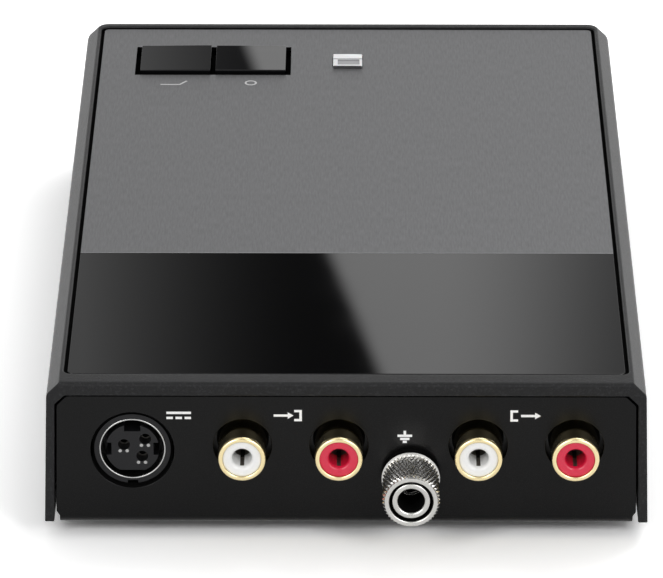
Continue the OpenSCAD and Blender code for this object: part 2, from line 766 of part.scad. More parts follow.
// Sleeves in the holes of insert and body, each with a tail to the board
module power_contacts() {
    y_tails = y_power_back + power_hole_end;
    color("#d8c070") for (i = [0 : len(power_pin_places) - 1]) {
        p = power_pin_places[i];
        x = power_x + p[0];
        z = z_power + p[1];
        difference() {
            rod_y(x, z, y_tails + snug, y_power_face - sleeve_inset, power_hole_d - 2 * snug);
            rod_y(x, z, y_tails + 2, y_power_face, power_hole_d - 2 * sleeve_wall);
        }
        square_rod_y(x, z, power_tail_y - pin_w / 2, y_tails + 1, pin_w);
        box(min(x, power_pins[i][0]) - pin_w / 2, max(x, power_pins[i][0]) + pin_w / 2,
            power_tail_y - pin_w / 2, power_tail_y + pin_w / 2, z - pin_w / 2, z + pin_w / 2);
        pins([power_pins[i]], z_board - pin_proud, z + pin_w / 2);
    }
}

module jack_block(xs) {
    color("#1d1d1f") difference() {
        box(min(xs) - block_side, max(xs) + block_side, y_block - block_d, y_block, z_deck,
            z_jack + block_rise);
        for (x = xs) square_rod_y(x, z_jack, y_block - block_d - cut, y_block + cut, tail_w + 2 * snug);
    }
}

// Gilt shell with a thin flange on its block and a ground tab down to the board
module jack_shell(x) {
    color("#d9b96a") difference() {
        union() {
            rod_y(x, z_jack, y_block, y_shell_tip, shell_d);
            rod_y(x, z_jack, y_block, y_block + shell_tab[1], flange_d);
            box(x - shell_tab[0] / 2, x + shell_tab[0] / 2, y_block, y_block + shell_tab[1],
                z_board - pin_proud, z_jack);
        }
        rod_y(x, z_jack, y_block - cut, y_shell_tip + cut, shell_bore);
        mouth_cut(x, y_shell_tip, z_jack, shell_bore);
    }
}

module jack_insulator(x, tint) {
    y_face = y_shell_tip - insulator_inset;
    y_contact = y_shell_tip - contact_inset;
    color(tint) difference() {
        rod_y(x, z_jack, y_block, y_face, shell_bore - 2 * snug);
        rod_y(x, z_jack, y_block - cut, y_face + cut, pin_bore);
        rod_y(x, z_jack, y_block - cut, y_contact, pin_bore + 2 * contact_wall + 2 * snug);
    }
}

// Contact sleeves of the four jacks, each with a tail through its block to the board
module jack_contacts() {
    y_contact = y_shell_tip - contact_inset;
    sleeve_d = pin_bore + 2 * contact_wall;
    color("#c9c9c6") for (x = jack_xs) {
        difference() {
            rod_y(x, z_jack, y_block, y_contact - snug, sleeve_d);
            rod_y(x, z_jack, y_block + 1, y_contact + cut, pin_bore);
            post_box(x, y_block + 1 + shell_reach, contact_slot, 2 * shell_reach, z_jack - sleeve_d,
                z_jack);
        }
        square_rod_y(x, z_jack, y_tail, y_block, tail_w);
        post_box(x, y_tail + tail_w / 2, pin_w, pin_w, z_board - pin_proud, z_jack - tail_w / 2);
    }
}

// ---------- ground post ----------

module ground_post() {
    y_tip = y_nut_end - post_face_inset;
    color("#c4c4c4") difference() {
        union() {
            rod_y(post_x, z_post, y_panel_in - post_tail, y_tip, post_d);
            rod_y(post_x, z_post, y_panel, y_panel + washer_t, nut_d);
        }
        rod_y(post_x, z_post, y_tip - post_blind, y_tip + cut, post_bore);
        mouth_cut(post_x, y_tip, z_post, post_bore);
    }
}

module ground_washer() {
    color("#bdbdbd") tube_y(post_x, z_post, y_panel + washer_t, y_panel + 2 * washer_t,
        nut_d - 0.6, post_d + 2 * thread_fit);
}

module ground_thumb_nut() {
    y0 = y_panel + 2 * washer_t;
    color("#cfcfcf") difference() {
        translate([post_x, y0, z_post]) rotate([-90, 0, 0]) rotate_extrude() polygon([[0, 0],
            [nut_d / 2 - nut_edge, 0], [nut_d / 2, nut_edge], [nut_d / 2, nut_len - nut_edge],
            [nut_d / 2 - nut_edge, nut_len], [0, nut_len]]);
        rod_y(post_x, z_post, y0 - cut, y_nut_end + cut, post_d + 2 * thread_fit);
        rod_y(post_x, z_post, y_nut_end - nut_recess, y_nut_end + cut, nut_recess_d);
    }
}

module ground_lock_nut() {
    y1 = y_panel_in - tag_t;
    color("#c4c4c4") difference() {
        translate([post_x, y1 - lock_nut_t, z_post]) rotate([-90, 0, 0]) rotate(30)
            cylinder(d = lock_nut_af / cos(30), h = lock_nut_t, $fn = 6);
        rod_y(post_x, z_post, y1 - lock_nut_t - cut, y1 + cut, post_d + 2 * thread_fit);
    }
}

// Ring tag behind the panel, with an arm over the board's notch and down to the board
module ground_tag() {
    arm_w = 2;
    arm_z = z_post + lock_nut_af / cos(30) / 2 + 1;
    y_down = y_board_rear - notch_depth - 2;
    color("#d0c8a0") {
        difference() {
            union() {
                rod_y(post_x, z_post, y_panel_in - tag_t, y_panel_in, lock_nut_af);
                box(post_x - arm_w / 2, post_x + arm_w / 2, y_panel_in - tag_t, y_panel_in, z_post, arm_z);
            }
            rod_y(post_x, z_post, y_panel_in - tag_t - cut, y_panel_in + cut, post_d + 2 * thread_fit);
        }
        box(post_x - arm_w / 2, post_x + arm_w / 2, y_down, y_panel_in, arm_z, arm_z + tag_t);
        box(post_x - arm_w / 2, post_x + arm_w / 2, y_down, y_down + tag_t, z_deck, arm_z);
    }
}

// ---------- circuit board ----------

module circuit_board() {
    color("#1f5a34") difference() {
        box(-board_half, board_half, y_board_front, y_board_rear, z_board, z_deck);
        box(post_x - notch_half, post_x + notch_half, y_board_rear - notch_depth, y_board_rear + cut,
            z_board - cut, z_deck + cut);
        for (p = boss_places) translate([p[0], p[1], z_board - cut])
            cylinder(d = boss_d + 2 * boss_room, h = board_t + 2 * cut);
        for (x = board_xs) for (y = board_ys) translate([x, y, z_board - cut])
            cylinder(d = board_screw_hole, h = board_t + 2 * cut);
        for (x = jack_xs) post_box(x, y_block + shell_tab[1] / 2, shell_tab[0] + 2 * tab_room[0],
            shell_tab[1] + 2 * tab_room[1], z_board - cut, z_deck + cut);
        pin_holes(concat(switch_pins, dip_pins, tail_pins, lamp_pins, reservoir_pins, power_pins));
    }
}

// Case of a DIP bank under the board, with a slot for each slider
module dip_case(side) {
    slot_d = nub_d + slider_travel + 2 * slider_fit;
    well_d = slider_foot_d + slider_travel + 2 * slider_fit;
    z0 = z_board - dip_h;
    color("#9c2a26") difference() {
        union() {
            post_box(side * dip_x, y_dip, dip_len, dip_w, z0, z_board);
            for (p = dip_pins) if (p[0] * side > 0) pins([p], z_board - dip_h / 2, z_deck + pin_proud);
        }
        for (i = [0 : dip_count - 1]) {
            x = side * dip_x + slider_dx(i);
            post_box(x, y_dip, nub_w + 2 * slider_fit, slot_d, z0 - cut, z0 + dip_floor + cut);
            post_box(x, y_dip, slider_foot_w + 2 * slider_fit, well_d, z0 + dip_floor,
                z0 + dip_floor + slider_foot_h + slider_fit);
        }
    }
}

// Slider number 1 to 4 of a bank, at the front end of its travel
module dip_slider(side, number) {
    x = side * dip_x + slider_dx(number - 1);
    y = y_dip - slider_travel / 2;
    z0 = z_board - dip_h;
    color("#f2f2ee") {
        post_box(x, y, nub_w, nub_d, z0 - nub_proud, z0 + dip_floor);
        post_box(x, y, slider_foot_w, slider_foot_d, z0 + dip_floor, z0 + dip_floor + slider_foot_h);
    }
}

// Electrolytic capacitor with a grooved foot
module can_capacitor(x, y, d, h) {
    translate([x, y, z_deck]) rotate_extrude() polygon([[0, 0], [d / 2, 0], [d / 2, 1],
        [d / 2 - 0.35, 1.4], [d / 2, 1.8], [d / 2, h - 0.4], [d / 2 - 0.4, h], [0, h]]);
}

module reservoir_capacitors() {
    color("#23314f") {
        for (p = reservoir_places) can_capacitor(p[0], p[1], reservoir_d, reservoir_h);
        pins(reservoir_pins, z_board - pin_proud, z_deck);
    }
}

module coupling_capacitors() {
    color("#1d1f24") for (across = [-0.77, -0.59, -0.41]) for (y = [front_row(0.77), rear_row(0.33)])
        can_capacitor(column(across), y, coupling_d, coupling_h);
}

module film_capacitors() {
    color("#b23a2c") for (across = [-0.82, -0.61, -0.41, -0.2])
        for (y = [front_row(0.905), rear_row(0.18)])
            post_box(column(across), y, film_w, film_d, z_deck, z_deck + film_h);
}

// Eight-leg op-amp: body clear of the board, legs standing on it
module op_amps() {
    leg_w = 0.5;
    leg_t = 0.3;
    body_w = 6.4;
    span = 8;                         // across the legs
    legs_z = z_deck + 1.9;            // where the legs leave the body
    body_d = 9.6;
    body_z = [0.5, 3.8];              // under and upper face above the board
    color("#1a1a1c") for (across = [-0.68, -0.32]) for (along = [0.455, 0.62]) {
        x = column(across);
        post_box(x, front_row(along), body_w, body_d, z_deck + body_z[0], z_deck + body_z[1]);
        for (i = [-1.5 : 1.5]) {
            y = front_row(along) + i * dip_pitch;
            post_box(x, y, span, leg_w, legs_z, legs_z + leg_t);
            for (side = [-1, 1]) post_box(x + side * (span - leg_t) / 2, y, leg_t, leg_w, z_deck,
                legs_z + leg_t);
        }
    }
}

// Axial part lying along X over the board, with its wires bent down to it
module axial_part(x, y, length, d) {
    wire = 0.6;
    reach = length / 2 + 2;
    lift = d / 2 + 0.3;
    translate([x - length / 2, y, z_deck + lift]) rotate([0, 90, 0]) cylinder(d = d, h = length);
    post_box(x, y, 2 * reach, wire, z_deck + lift - wire / 2, z_deck + lift + wire / 2);
    for (side = [-1, 1]) post_box(x + side * (reach - wire / 2), y, wire, wire, z_deck, z_deck + lift);
}

module resistors() {
    color("#7fb0c8") for (across = [-0.55, -0.23]) for (row = [0 : 5])
        axial_part(column(across), y_board_front + resistor_front + resistor_pitch * row,
            resistor_size[0], resistor_size[1]);
}

module rectifier_diodes() {
    color("#2a2a2a") for (across = [0.375, 0.65]) for (along = [0.605, 0.667])
        axial_part(column(across), rear_row(along), diode_size[0], diode_size[1]);
}

// Voltage regulator lying on the board, its tab towards the front
module regulators() {
    body_w = 10;
    body_d = 8.8;
    body_h = 4.4;
    tab_d = 6.4;
    tab_t = 1.3;
    tab_hole = 3.6;
    leg_w = 0.8;
    leg_t = 0.5;
    leg_d = 3;
    color("#2c2c2e") for (along = [0.52, 0.73]) translate([column(0.64), front_row(along), z_deck]) {
        post_box(0, 0, body_w, body_d, 0, body_h);
        difference() {
            post_box(0, -(body_d + tab_d) / 2, body_w, tab_d, 0, tab_t);
            translate([0, -(body_d + tab_d) / 2, -cut]) cylinder(d = tab_hole, h = tab_t + 2 * cut);
        }
        for (dx = [-dip_pitch, 0, dip_pitch]) post_box(dx, (body_d + leg_d) / 2, leg_w, leg_d, 0, leg_t);
    }
}

module relays() {
    color("#e6e2d6") for (y = [front_row(0.81), rear_row(0.18)])
        post_box(0, y, relay_w, relay_d, z_deck, z_deck + relay_h);
}

// ---------- nodes ----------

cover();
chassis();
brushed_plate();
gloss_plate();
rubber_feet();
cover_screws();
board_standoffs();
board_screws();
button_guide();
button_cap(button_xs[1]);  // filter_button
button_cap(button_xs[0]);  // mono_button
plunger(button_xs[1]);  // filter_plunger
plunger(button_xs[0]);  // mono_plunger
push_switch(button_xs[1]);  // filter_switch
push_switch(button_xs[0]);  // mono_switch
button_spring(button_xs[1]);  // filter_spring
button_spring(button_xs[0]);  // mono_spring
indicator_lens();
indicator_lamp();
power_socket();
power_insert();
power_shield();
power_contacts();
jack_block(input_jacks);  // input_jack_block
jack_block(output_jacks);  // output_jack_block
jack_shell(input_jacks[0]);  // input_left_shell
jack_shell(input_jacks[1]);  // input_right_shell
jack_shell(output_jacks[0]);  // output_left_shell
jack_shell(output_jacks[1]);  // output_right_shell
jack_insulator(input_jacks[0], "#f3f3f3");  // input_left_insulator
jack_insulator(input_jacks[1], "#d8344c");  // input_right_insulator
jack_insulator(output_jacks[0], "#f3f3f3");  // output_left_insulator
jack_insulator(output_jacks[1], "#d8344c");  // output_right_insulator
jack_contacts();
ground_post();
ground_washer();
ground_thumb_nut();
ground_lock_nut();
ground_tag();
circuit_board();
dip_case(1);  // left_dip_case
dip_case(-1);  // right_dip_case
for (i = [1 : dip_count]) {
    dip_slider(1, i);
    dip_slider(-1, i);
}
reservoir_capacitors();
coupling_capacitors();
film_capacitors();
op_amps();
resistors();
rectifier_diodes();
regulators();
relays();
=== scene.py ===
"""Looks of a phono preamp: finishes, softened edges, turned parts, printed marks and studio.

Lengths are in metres, +Z is up and the rear panel with the sockets faces +Y.
"""

import json
import logging
import math
from collections.abc import Callable, Iterable, Sequence
from dataclasses import dataclass, field
from enum import Enum
from functools import cache

import bmesh
import bpy
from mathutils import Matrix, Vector


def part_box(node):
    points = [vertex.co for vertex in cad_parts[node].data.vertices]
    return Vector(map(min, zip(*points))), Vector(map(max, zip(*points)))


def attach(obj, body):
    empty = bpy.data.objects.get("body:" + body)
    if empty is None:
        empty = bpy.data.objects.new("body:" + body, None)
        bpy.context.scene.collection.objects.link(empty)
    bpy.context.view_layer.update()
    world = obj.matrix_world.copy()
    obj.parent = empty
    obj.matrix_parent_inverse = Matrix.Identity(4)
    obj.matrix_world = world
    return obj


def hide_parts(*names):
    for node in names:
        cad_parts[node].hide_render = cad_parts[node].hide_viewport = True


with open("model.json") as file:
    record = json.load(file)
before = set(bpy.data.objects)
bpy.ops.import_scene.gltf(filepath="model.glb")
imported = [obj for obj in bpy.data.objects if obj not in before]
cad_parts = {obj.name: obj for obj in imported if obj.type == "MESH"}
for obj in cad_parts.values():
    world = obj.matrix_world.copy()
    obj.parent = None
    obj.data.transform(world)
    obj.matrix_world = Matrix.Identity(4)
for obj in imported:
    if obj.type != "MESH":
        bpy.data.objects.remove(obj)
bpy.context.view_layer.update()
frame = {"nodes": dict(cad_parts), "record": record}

MM = 0.001
MERGE = 1e-7  # points nearer than this become one point
SAME = 0.01 * MM  # places nearer than this count as the same
JOINED = 1e-6  # ends nearer than this close a printed stroke
SLACK = 0.02 * MM  # room for the middle of a face beside its true surface
WIDE_SLACK = 0.1 * MM  # the same where the surface is rounded
UPRIGHT = 0.3  # a face whose direction has less than this upwards stands nearly upright
HALF_TURNED = 0.5  # a direction with more than this along an axis faces that way
FLAT = math.radians(0.4)  # faces that turn by less are one face
EDGE = math.radians(28)  # edges that turn by more are sharp

Colour = tuple[float, float, float]
Cells = tuple[float, float, float]
Corner = tuple[float, float, float]
Place = tuple[float, float, float]
Point2 = tuple[float, float]
Band = tuple[float, float]
Piece = bpy.types.Object
Form = bmesh.types.BMesh
Tree = bpy.types.NodeTree
Socket = bpy.types.NodeSocket
EdgeWidth = Callable[[Vector, Vector], float]
FaceTest = Callable[[Vector, Vector], bool]

log = logging.getLogger("phono_preamp")


# ---------- shader nodes ----------


def maths(tree: Tree, operation: str, a: Socket | float, b: Socket | float) -> Socket:
    """Add a math node.

    Args:
        tree: Tree that gets the node.
        operation: Blender's name of the operation.
        a: First value, a socket or a number.
        b: Second value, a socket or a number.

    Returns:
        The result's socket.
    """
    node = tree.nodes.new("ShaderNodeMath")
    node.operation = operation
    for socket, value in zip(node.inputs, (a, b)):
        if isinstance(value, (int, float)):
            socket.default_value = value
        else:
            tree.links.new(value, socket)
    return node.outputs[0]


def number(tree: Tree, value: float) -> Socket:
    """Add a plain number.

    Args:
        tree: Tree that gets the node.
        value: The number.

    Returns:
        The number's socket.
    """
    node = tree.nodes.new("ShaderNodeValue")
    node.outputs[0].default_value = value
    return node.outputs[0]


def ramp(tree: Tree, value: Socket, band: Band, levels: Band) -> Socket:
    """Change smoothly from one level to another while a value crosses a band.

    Args:
        tree: Tree that gets the node.
        value: Socket with the value.
        band: Where the change begins and where it ends.
        levels: Level before the change and level after it.

    Returns:
        The socket with the level.
    """
    node = tree.nodes.new("ShaderNodeMapRange")
    node.interpolation_type = "SMOOTHSTEP"
    tree.links.new(value, node.inputs["Value"])
    for label, limit in zip(("From Min", "From Max", "To Min", "To Max"), (*band, *levels)):
        node.inputs[label].default_value = limit
    return node.outputs["Result"]


def mix(tree: Tree, factor: Socket, first: Socket, second: Socket) -> Socket:
    """Mix two values.

    Args:
        tree: Tree that gets the node.
        factor: Socket with the share of the second value.
        first: Socket with the first value.
        second: Socket with the second value.

    Returns:
        The socket with the mixed value.
    """
    node = tree.nodes.new("ShaderNodeMix")
    node.data_type = "FLOAT"
    for label, value in (("Factor", factor), ("A", first), ("B", second)):
        tree.links.new(value, node.inputs[label])
    return node.outputs["Result"]


# ---------- shared shader effects ----------


# kinds of sockets on a shared effect
COLOUR = "NodeSocketColor"
FLOAT = "NodeSocketFloat"
VECTOR = "NodeSocketVector"


class Effect(Enum):
    """Shader effects that several finishes share, each one node group."""

    GRAIN = "surface grain"
    FLAKES = "coat flakes"
    SMUDGES = "soft smudges"


class EffectLibrary:
    """Builds each shared effect once and hands out its node group."""

    def __init__(self) -> None:
        """Start with no group built."""
        self._groups: dict[Effect, Tree] = {}

    def group(self, effect: Effect) -> Tree:
        """Return the node group of an effect.

        Args:
            effect: Which effect is wanted.

        Returns:
            The group, built on its first use.
        """
        if effect not in self._groups:
            builders = {
                Effect.GRAIN: self._grain,
                Effect.FLAKES: self._flakes,
                Effect.SMUDGES: self._smudges,
            }
            self._groups[effect] = builders[effect](effect.value)
        return self._groups[effect]

    @staticmethod
    def _start(name: str, inputs: dict[str, str], outputs: dict[str, str]
               ) -> tuple[Tree, bpy.types.Node, bpy.types.Node]:
        """Make an empty group with named sockets.

        Args:
            name: Name of the group.
            inputs: Socket type of each input, by its name.
            outputs: Socket type of each output, by its name.

        Returns:
            The tree, its input node and its output node.
        """
        tree = bpy.data.node_groups.new(name, "ShaderNodeTree")
        for label, kind in inputs.items():
            tree.interface.new_socket(name=label, in_out="INPUT", socket_type=kind)
        for label, kind in outputs.items():
            tree.interface.new_socket(name=label, in_out="OUTPUT", socket_type=kind)
        return tree, tree.nodes.new("NodeGroupInput"), tree.nodes.new("NodeGroupOutput")

    @staticmethod
    def _scaled_place(tree: Tree, cells: Socket) -> Socket:
        """Scale the place on the piece by cells for each metre.

        Args:
            tree: The group's tree.
            cells: Socket with the number of cells for each metre along X, Y and Z.

        Returns:
            The socket with the scaled place.
        """
        place = tree.nodes.new("ShaderNodeTexCoord")
        scaled = tree.nodes.new("ShaderNodeVectorMath")
        scaled.operation = "MULTIPLY"
        tree.links.new(place.outputs["Object"], scaled.inputs[0])
        tree.links.new(cells, scaled.inputs[1])
        return scaled.outputs[0]

    @staticmethod
    def _tinted(tree: Tree, colour: Socket, swing: Socket, amount: Socket) -> Socket:
        """Lighten and darken a colour.

        Args:
            tree: Tree that gets the nodes.
            colour: Socket with the plain colour.
            swing: Socket that runs from -1 to 1 over the surface.
            amount: Socket with the share by which the colour changes.

        Returns:
            The changed colour's socket.
        """
        factor = maths(tree, "ADD", maths(tree, "MULTIPLY", swing, amount), 1.0)
        scale = tree.nodes.new("ShaderNodeVectorMath")
        scale.operation = "SCALE"
        tree.links.new(colour, scale.inputs[0])
        tree.links.new(factor, scale.inputs["Scale"])
        return scale.outputs[0]

    def _grain(self, name: str) -> Tree:
        """Grain, brush marks or turning marks, by the size of the cells along each axis.

        Args:
            name: Name of the group.

        Returns:
            The group.
        """
        tree, given, result = self._start(
            name,
            {"Colour": COLOUR, "Roughness": FLOAT, "Cells": VECTOR, "Contrast": FLOAT,
             "Gloss change": FLOAT},
            {"Colour": COLOUR, "Roughness": FLOAT, "Height": FLOAT})
        noise = tree.nodes.new("ShaderNodeTexNoise")
        noise.inputs["Scale"].default_value = 1.0
        noise.inputs["Detail"].default_value = 3.0
        noise.inputs["Roughness"].default_value = 0.6
        tree.links.new(self._scaled_place(tree, given.outputs["Cells"]), noise.inputs["Vector"])
        middle, stretch = 0.5, 2.0
        swing = maths(tree, "SUBTRACT", noise.outputs[0], middle)
        swing = maths(tree, "MULTIPLY", swing, stretch)
        colour = self._tinted(tree, given.outputs["Colour"], swing, given.outputs["Contrast"])
        change = maths(tree, "MULTIPLY", swing, given.outputs["Gloss change"])
        roughness = maths(tree, "ADD", given.outputs["Roughness"], change)
        tree.links.new(colour, result.inputs["Colour"])
        tree.links.new(roughness, result.inputs["Roughness"])
        tree.links.new(noise.outputs[0], result.inputs["Height"])
        return tree

    def _flakes(self, name: str) -> Tree:
        """Small bright and dark flakes in a sprayed coat.

        Args:
            name: Name of the group.

        Returns:
            The group.
        """
        sharpness, brightest, darkest = 6.0, 3.0, 0.4
        tree, given, result = self._start(
            name, {"Colour": COLOUR, "Cells": VECTOR, "Amount": FLOAT},
            {"Colour": COLOUR, "Height": FLOAT})
        cells = tree.nodes.new("ShaderNodeTexVoronoi")
        cells.inputs["Scale"].default_value = 1.0
        tree.links.new(self._scaled_place(tree, given.outputs["Cells"]), cells.inputs["Vector"])
        parts = tree.nodes.new("ShaderNodeSeparateColor")
        tree.links.new(cells.outputs["Color"], parts.inputs[0])
        sharp = maths(tree, "POWER", parts.outputs[0], sharpness)
        swing = maths(tree, "SUBTRACT", maths(tree, "MULTIPLY", sharp, brightest), darkest)
        colour = self._tinted(tree, given.outputs["Colour"], swing, given.outputs["Amount"])
        tree.links.new(colour, result.inputs["Colour"])
        tree.links.new(parts.outputs[1], result.inputs["Height"])
        return tree

    def _smudges(self, name: str) -> Tree:
        """Broad patches that are a little duller, as on a surface that has been handled.

        Args:
            name: Name of the group.

        Returns:
            The group.
        """
        tree, given, result = self._start(
            name, {"Roughness": FLOAT, "Amount": FLOAT}, {"Roughness": FLOAT})
        place = tree.nodes.new("ShaderNodeTexCoord")
        noise = tree.nodes.new("ShaderNodeTexNoise")
        noise.inputs["Scale"].default_value = 60.0
        noise.inputs["Detail"].default_value = 4.0
        tree.links.new(place.outputs["Object"], noise.inputs["Vector"])
        contrast = 2.0
        patch = maths(tree, "POWER", noise.outputs[0], contrast)
        change = maths(tree, "MULTIPLY", patch, given.outputs["Amount"])
        roughness = maths(tree, "ADD", given.outputs["Roughness"], change)
        tree.links.new(roughness, result.inputs["Roughness"])
        return tree


EFFECTS = EffectLibrary()


# ---------- finishes ----------


def even(cell: float) -> Cells:
    """Cells for each metre, the same along X, Y and Z, from the size of one cell."""
    return (1 / cell,) * 3


def along_y(cell: float, length: float) -> Cells:
    """Cells for each metre of streaks that run along Y, from their width and length."""
    return (1 / cell, 1 / length, 1 / cell)


def turned_marks(pitch: float) -> Cells:
    """Cells for each metre of the rings that a lathe leaves on a part turned about Y."""
    return (1.0, 1 / pitch, 1.0)


@dataclass(frozen=True)
class Finish:
    """A surface finish: its colour and gloss, its grain and what lies over it."""

    name: str
    colour: Colour
    roughness: float
    metallic: float = 0.0
    specular: float = 0.5
    facing_gloss: float = 1.0
    cells: Cells = even(0.35 * MM)
    contrast: float = 0.05
    relief: float = 0.004 * MM
    gloss_change: float = 0.03
    smudge: float = 0.0
    flakes: float = 0.0
    flake_cells: Cells = even(0.28 * MM)
    transmission: float = 0.0
    subsurface: float = 0.0

    def material(self) -> bpy.types.Material:
        """Build the material, or return it if it exists already.

        Returns:
            The material of this finish.
        """
        found = bpy.data.materials.get(self.name)
        if found:
            return found
        material = bpy.data.materials.new(self.name)
        material.use_nodes = True
        material.diffuse_color = (*self.colour, 1.0)
        tree = material.node_tree
        shader = tree.nodes["Principled BSDF"]
        colour, roughness, height = self._surface(tree)
        bump = tree.nodes.new("ShaderNodeBump")
        bump.inputs["Distance"].default_value = self.relief
        tree.links.new(height, bump.inputs["Height"])
        tree.links.new(colour, shader.inputs["Base Color"])
        tree.links.new(roughness, shader.inputs["Roughness"])
        tree.links.new(bump.outputs["Normal"], shader.inputs["Normal"])
        constants = {
            "Metallic": self.metallic, "Specular IOR Level": self.specular,
            "Specular Tint": (self.facing_gloss,) * 3 + (1.0,),
            "Transmission Weight": self.transmission,
            "Subsurface Weight": self.subsurface, "Subsurface Scale": MM,
        }
        for label, value in constants.items():
            shader.inputs[label].default_value = value
        return material

    def _surface(self, tree: Tree) -> tuple[Socket, Socket, Socket]:
        """Lay the grain, the flakes and the smudges over the plain colour and gloss.

        Args:
            tree: The material's tree.

        Returns:
            The sockets with the colour, the roughness and the height.
        """
        grain = self._group(tree, Effect.GRAIN, {
            "Colour": (*self.colour, 1.0), "Roughness": self.roughness, "Cells": self.cells,
            "Contrast": self.contrast, "Gloss change": self.gloss_change})
        colour, height = grain.outputs["Colour"], grain.outputs["Height"]
        roughness = grain.outputs["Roughness"]
        if self.flakes:
            flakes = self._group(
                tree, Effect.FLAKES, {"Cells": self.flake_cells, "Amount": self.flakes})
            tree.links.new(colour, flakes.inputs["Colour"])
            colour, height = flakes.outputs["Colour"], flakes.outputs["Height"]
        if self.smudge:
            smudges = self._group(tree, Effect.SMUDGES, {"Amount": self.smudge})
            tree.links.new(roughness, smudges.inputs["Roughness"])
            roughness = smudges.outputs["Roughness"]
        return colour, roughness, height

    @staticmethod
    def _group(tree: Tree, effect: Effect, values: dict[str, float | tuple]) -> bpy.types.Node:
        """Place a shared effect in a material's tree.

        Args:
            tree: The material's tree.
            effect: The effect.
            values: Value of each of its inputs that isn't linked.

        Returns:
            The group's node.
        """
        node = tree.nodes.new("ShaderNodeGroup")
        node.node_tree = EFFECTS.group(effect)
        for label, value in values.items():
            node.inputs[label].default_value = value
        return node


def metal(name: str, colour: Colour, roughness: float, **details: float | Cells) -> Finish:
    """A bare or plated metal."""
    return Finish(name, colour, roughness, metallic=1.0, **details)


FINISHES: dict[str, Finish] = {
    "grey_cover_finish": Finish("textured dark grey coat", (0.0092, 0.0093, 0.0099), 0.40,
                                facing_gloss=0.30, flakes=0.55, relief=0.030 * MM, contrast=0.2,
                                cells=even(0.25 * MM)),
    "black_panel_paint": Finish("satin black paint", (0.0036, 0.0036, 0.0037), 0.27,
                                facing_gloss=0.21, relief=0.006 * MM, contrast=0.25,
                                cells=even(0.18 * MM)),
    "brushed_plate": metal("brushed dark plate", (0.196, 0.197, 0.202), 0.42,
                           cells=along_y(0.30 * MM, 2.6 * MM), contrast=0.34, relief=0.006 * MM),
    "black_gloss_plate": Finish("polished black plate", (0.0022, 0.0022, 0.0024), 0.02,
                                contrast=0.0, relief=0.0, gloss_change=0.0, smudge=0.02),
    "black_rubber": Finish("matt rubber", (0.020, 0.020, 0.020), 0.85, contrast=0.2,
                           relief=0.02 * MM),
    "black_steel": metal("black zinc screw", (0.060, 0.060, 0.064), 0.38),
    "bright_steel": metal("bright zinc steel", (0.60, 0.60, 0.62), 0.28),
    "nickel": metal("nickel plate", (0.66, 0.65, 0.62), 0.22, cells=turned_marks(0.08 * MM)),
    "tinned_copper": metal("tinned tag", (0.66, 0.64, 0.58), 0.35),
    "black_moulding": Finish("black moulding", (0.012, 0.012, 0.014), 0.36, contrast=0.1),
    "black_gloss_moulding": Finish("polished black moulding", (0.004, 0.004, 0.0045), 0.012,
                                   contrast=0.0, relief=0.0, gloss_change=0.0, smudge=0.006),
    "white_moulding": Finish("white moulding", (0.76, 0.75, 0.71), 0.45),
    "blue_moulding": Finish("blue moulding", (0.035, 0.085, 0.26), 0.45),
    "clear_lens": Finish("milky lens", (0.80, 0.81, 0.82), 0.14, subsurface=0.1),
    "lamp_epoxy": Finish("clear epoxy", (0.80, 0.86, 0.90), 0.08, transmission=0.6),
    "gold_plate": metal("gold plate", (0.62, 0.52, 0.30), 0.15, cells=turned_marks(0.10 * MM),
                        contrast=0.03),
    "white_insulator": Finish("white insulator", (0.90, 0.90, 0.89), 0.22),
    "red_insulator": Finish("red insulator", (0.68, 0.016, 0.058), 0.18, specular=0.4),
    "green_laminate": Finish("green solder resist", (0.016, 0.115, 0.040), 0.30, contrast=0.25,
                             cells=along_y(0.5 * MM, 0.5 * MM)),
    "red_moulding": Finish("red moulding", (0.30, 0.018, 0.018), 0.42),
    "navy_sleeve": Finish("navy shrink sleeve", (0.018, 0.032, 0.105), 0.22),
    "black_sleeve": Finish("black shrink sleeve", (0.016, 0.016, 0.020), 0.25),
    "red_film_moulding": Finish("red film capacitor", (0.38, 0.026, 0.018), 0.26),
    "blue_resistor_coat": Finish("blue resistor lacquer", (0.16, 0.37, 0.52), 0.30),
    "cream_moulding": Finish("cream moulding", (0.72, 0.68, 0.58), 0.46),
}
# Painted shade: dull black laid on faces in recesses, holes and gaps, where shade falls.
PAINTED_SHADE = Finish("dull black painted shade", (0.0022, 0.0022, 0.0022), 0.9, specular=0.03, contrast=0.3,
                relief=0.004 * MM)
SATIN_NICKEL = metal("satin nickel plate", (0.40, 0.395, 0.38), 0.26, relief=0.003 * MM)
# Painted light: the knurl gets nickel twice as bright as the rest of the nut.
LIT_KNURL_NICKEL = metal("knurled nickel plate, painted lighter", (0.80, 0.79, 0.77), 0.24, contrast=0.15)
DULL_NICKEL = Finish("dull nickel plate", (0.095, 0.095, 0.093), 0.5, relief=0.003 * MM)
# Painted shade: the jack contacts, seen only deep in the bores, get a darkened metal.
JACK_CONTACT_SHADE = metal("shaded jack contact metal", (0.20, 0.185, 0.165), 0.45)
SHADED_CONTACT = metal("shaded contact metal", (0.055, 0.052, 0.048), 0.45)
# Painted highlight: bright dots under the insert's holes, standing in for lamp glints on the
# holes' rims.
PAINTED_HIGHLIGHT = metal("painted highlight dot", (0.30, 0.30, 0.295), 0.45)
SHIELD_NICKEL = metal("shield nickel plate", (0.34, 0.34, 0.335), 0.26)
SOCKET_MOULDING = Finish("socket moulding", (0.0075, 0.0075, 0.0085), 0.36, facing_gloss=0.35,
                         contrast=0.1)
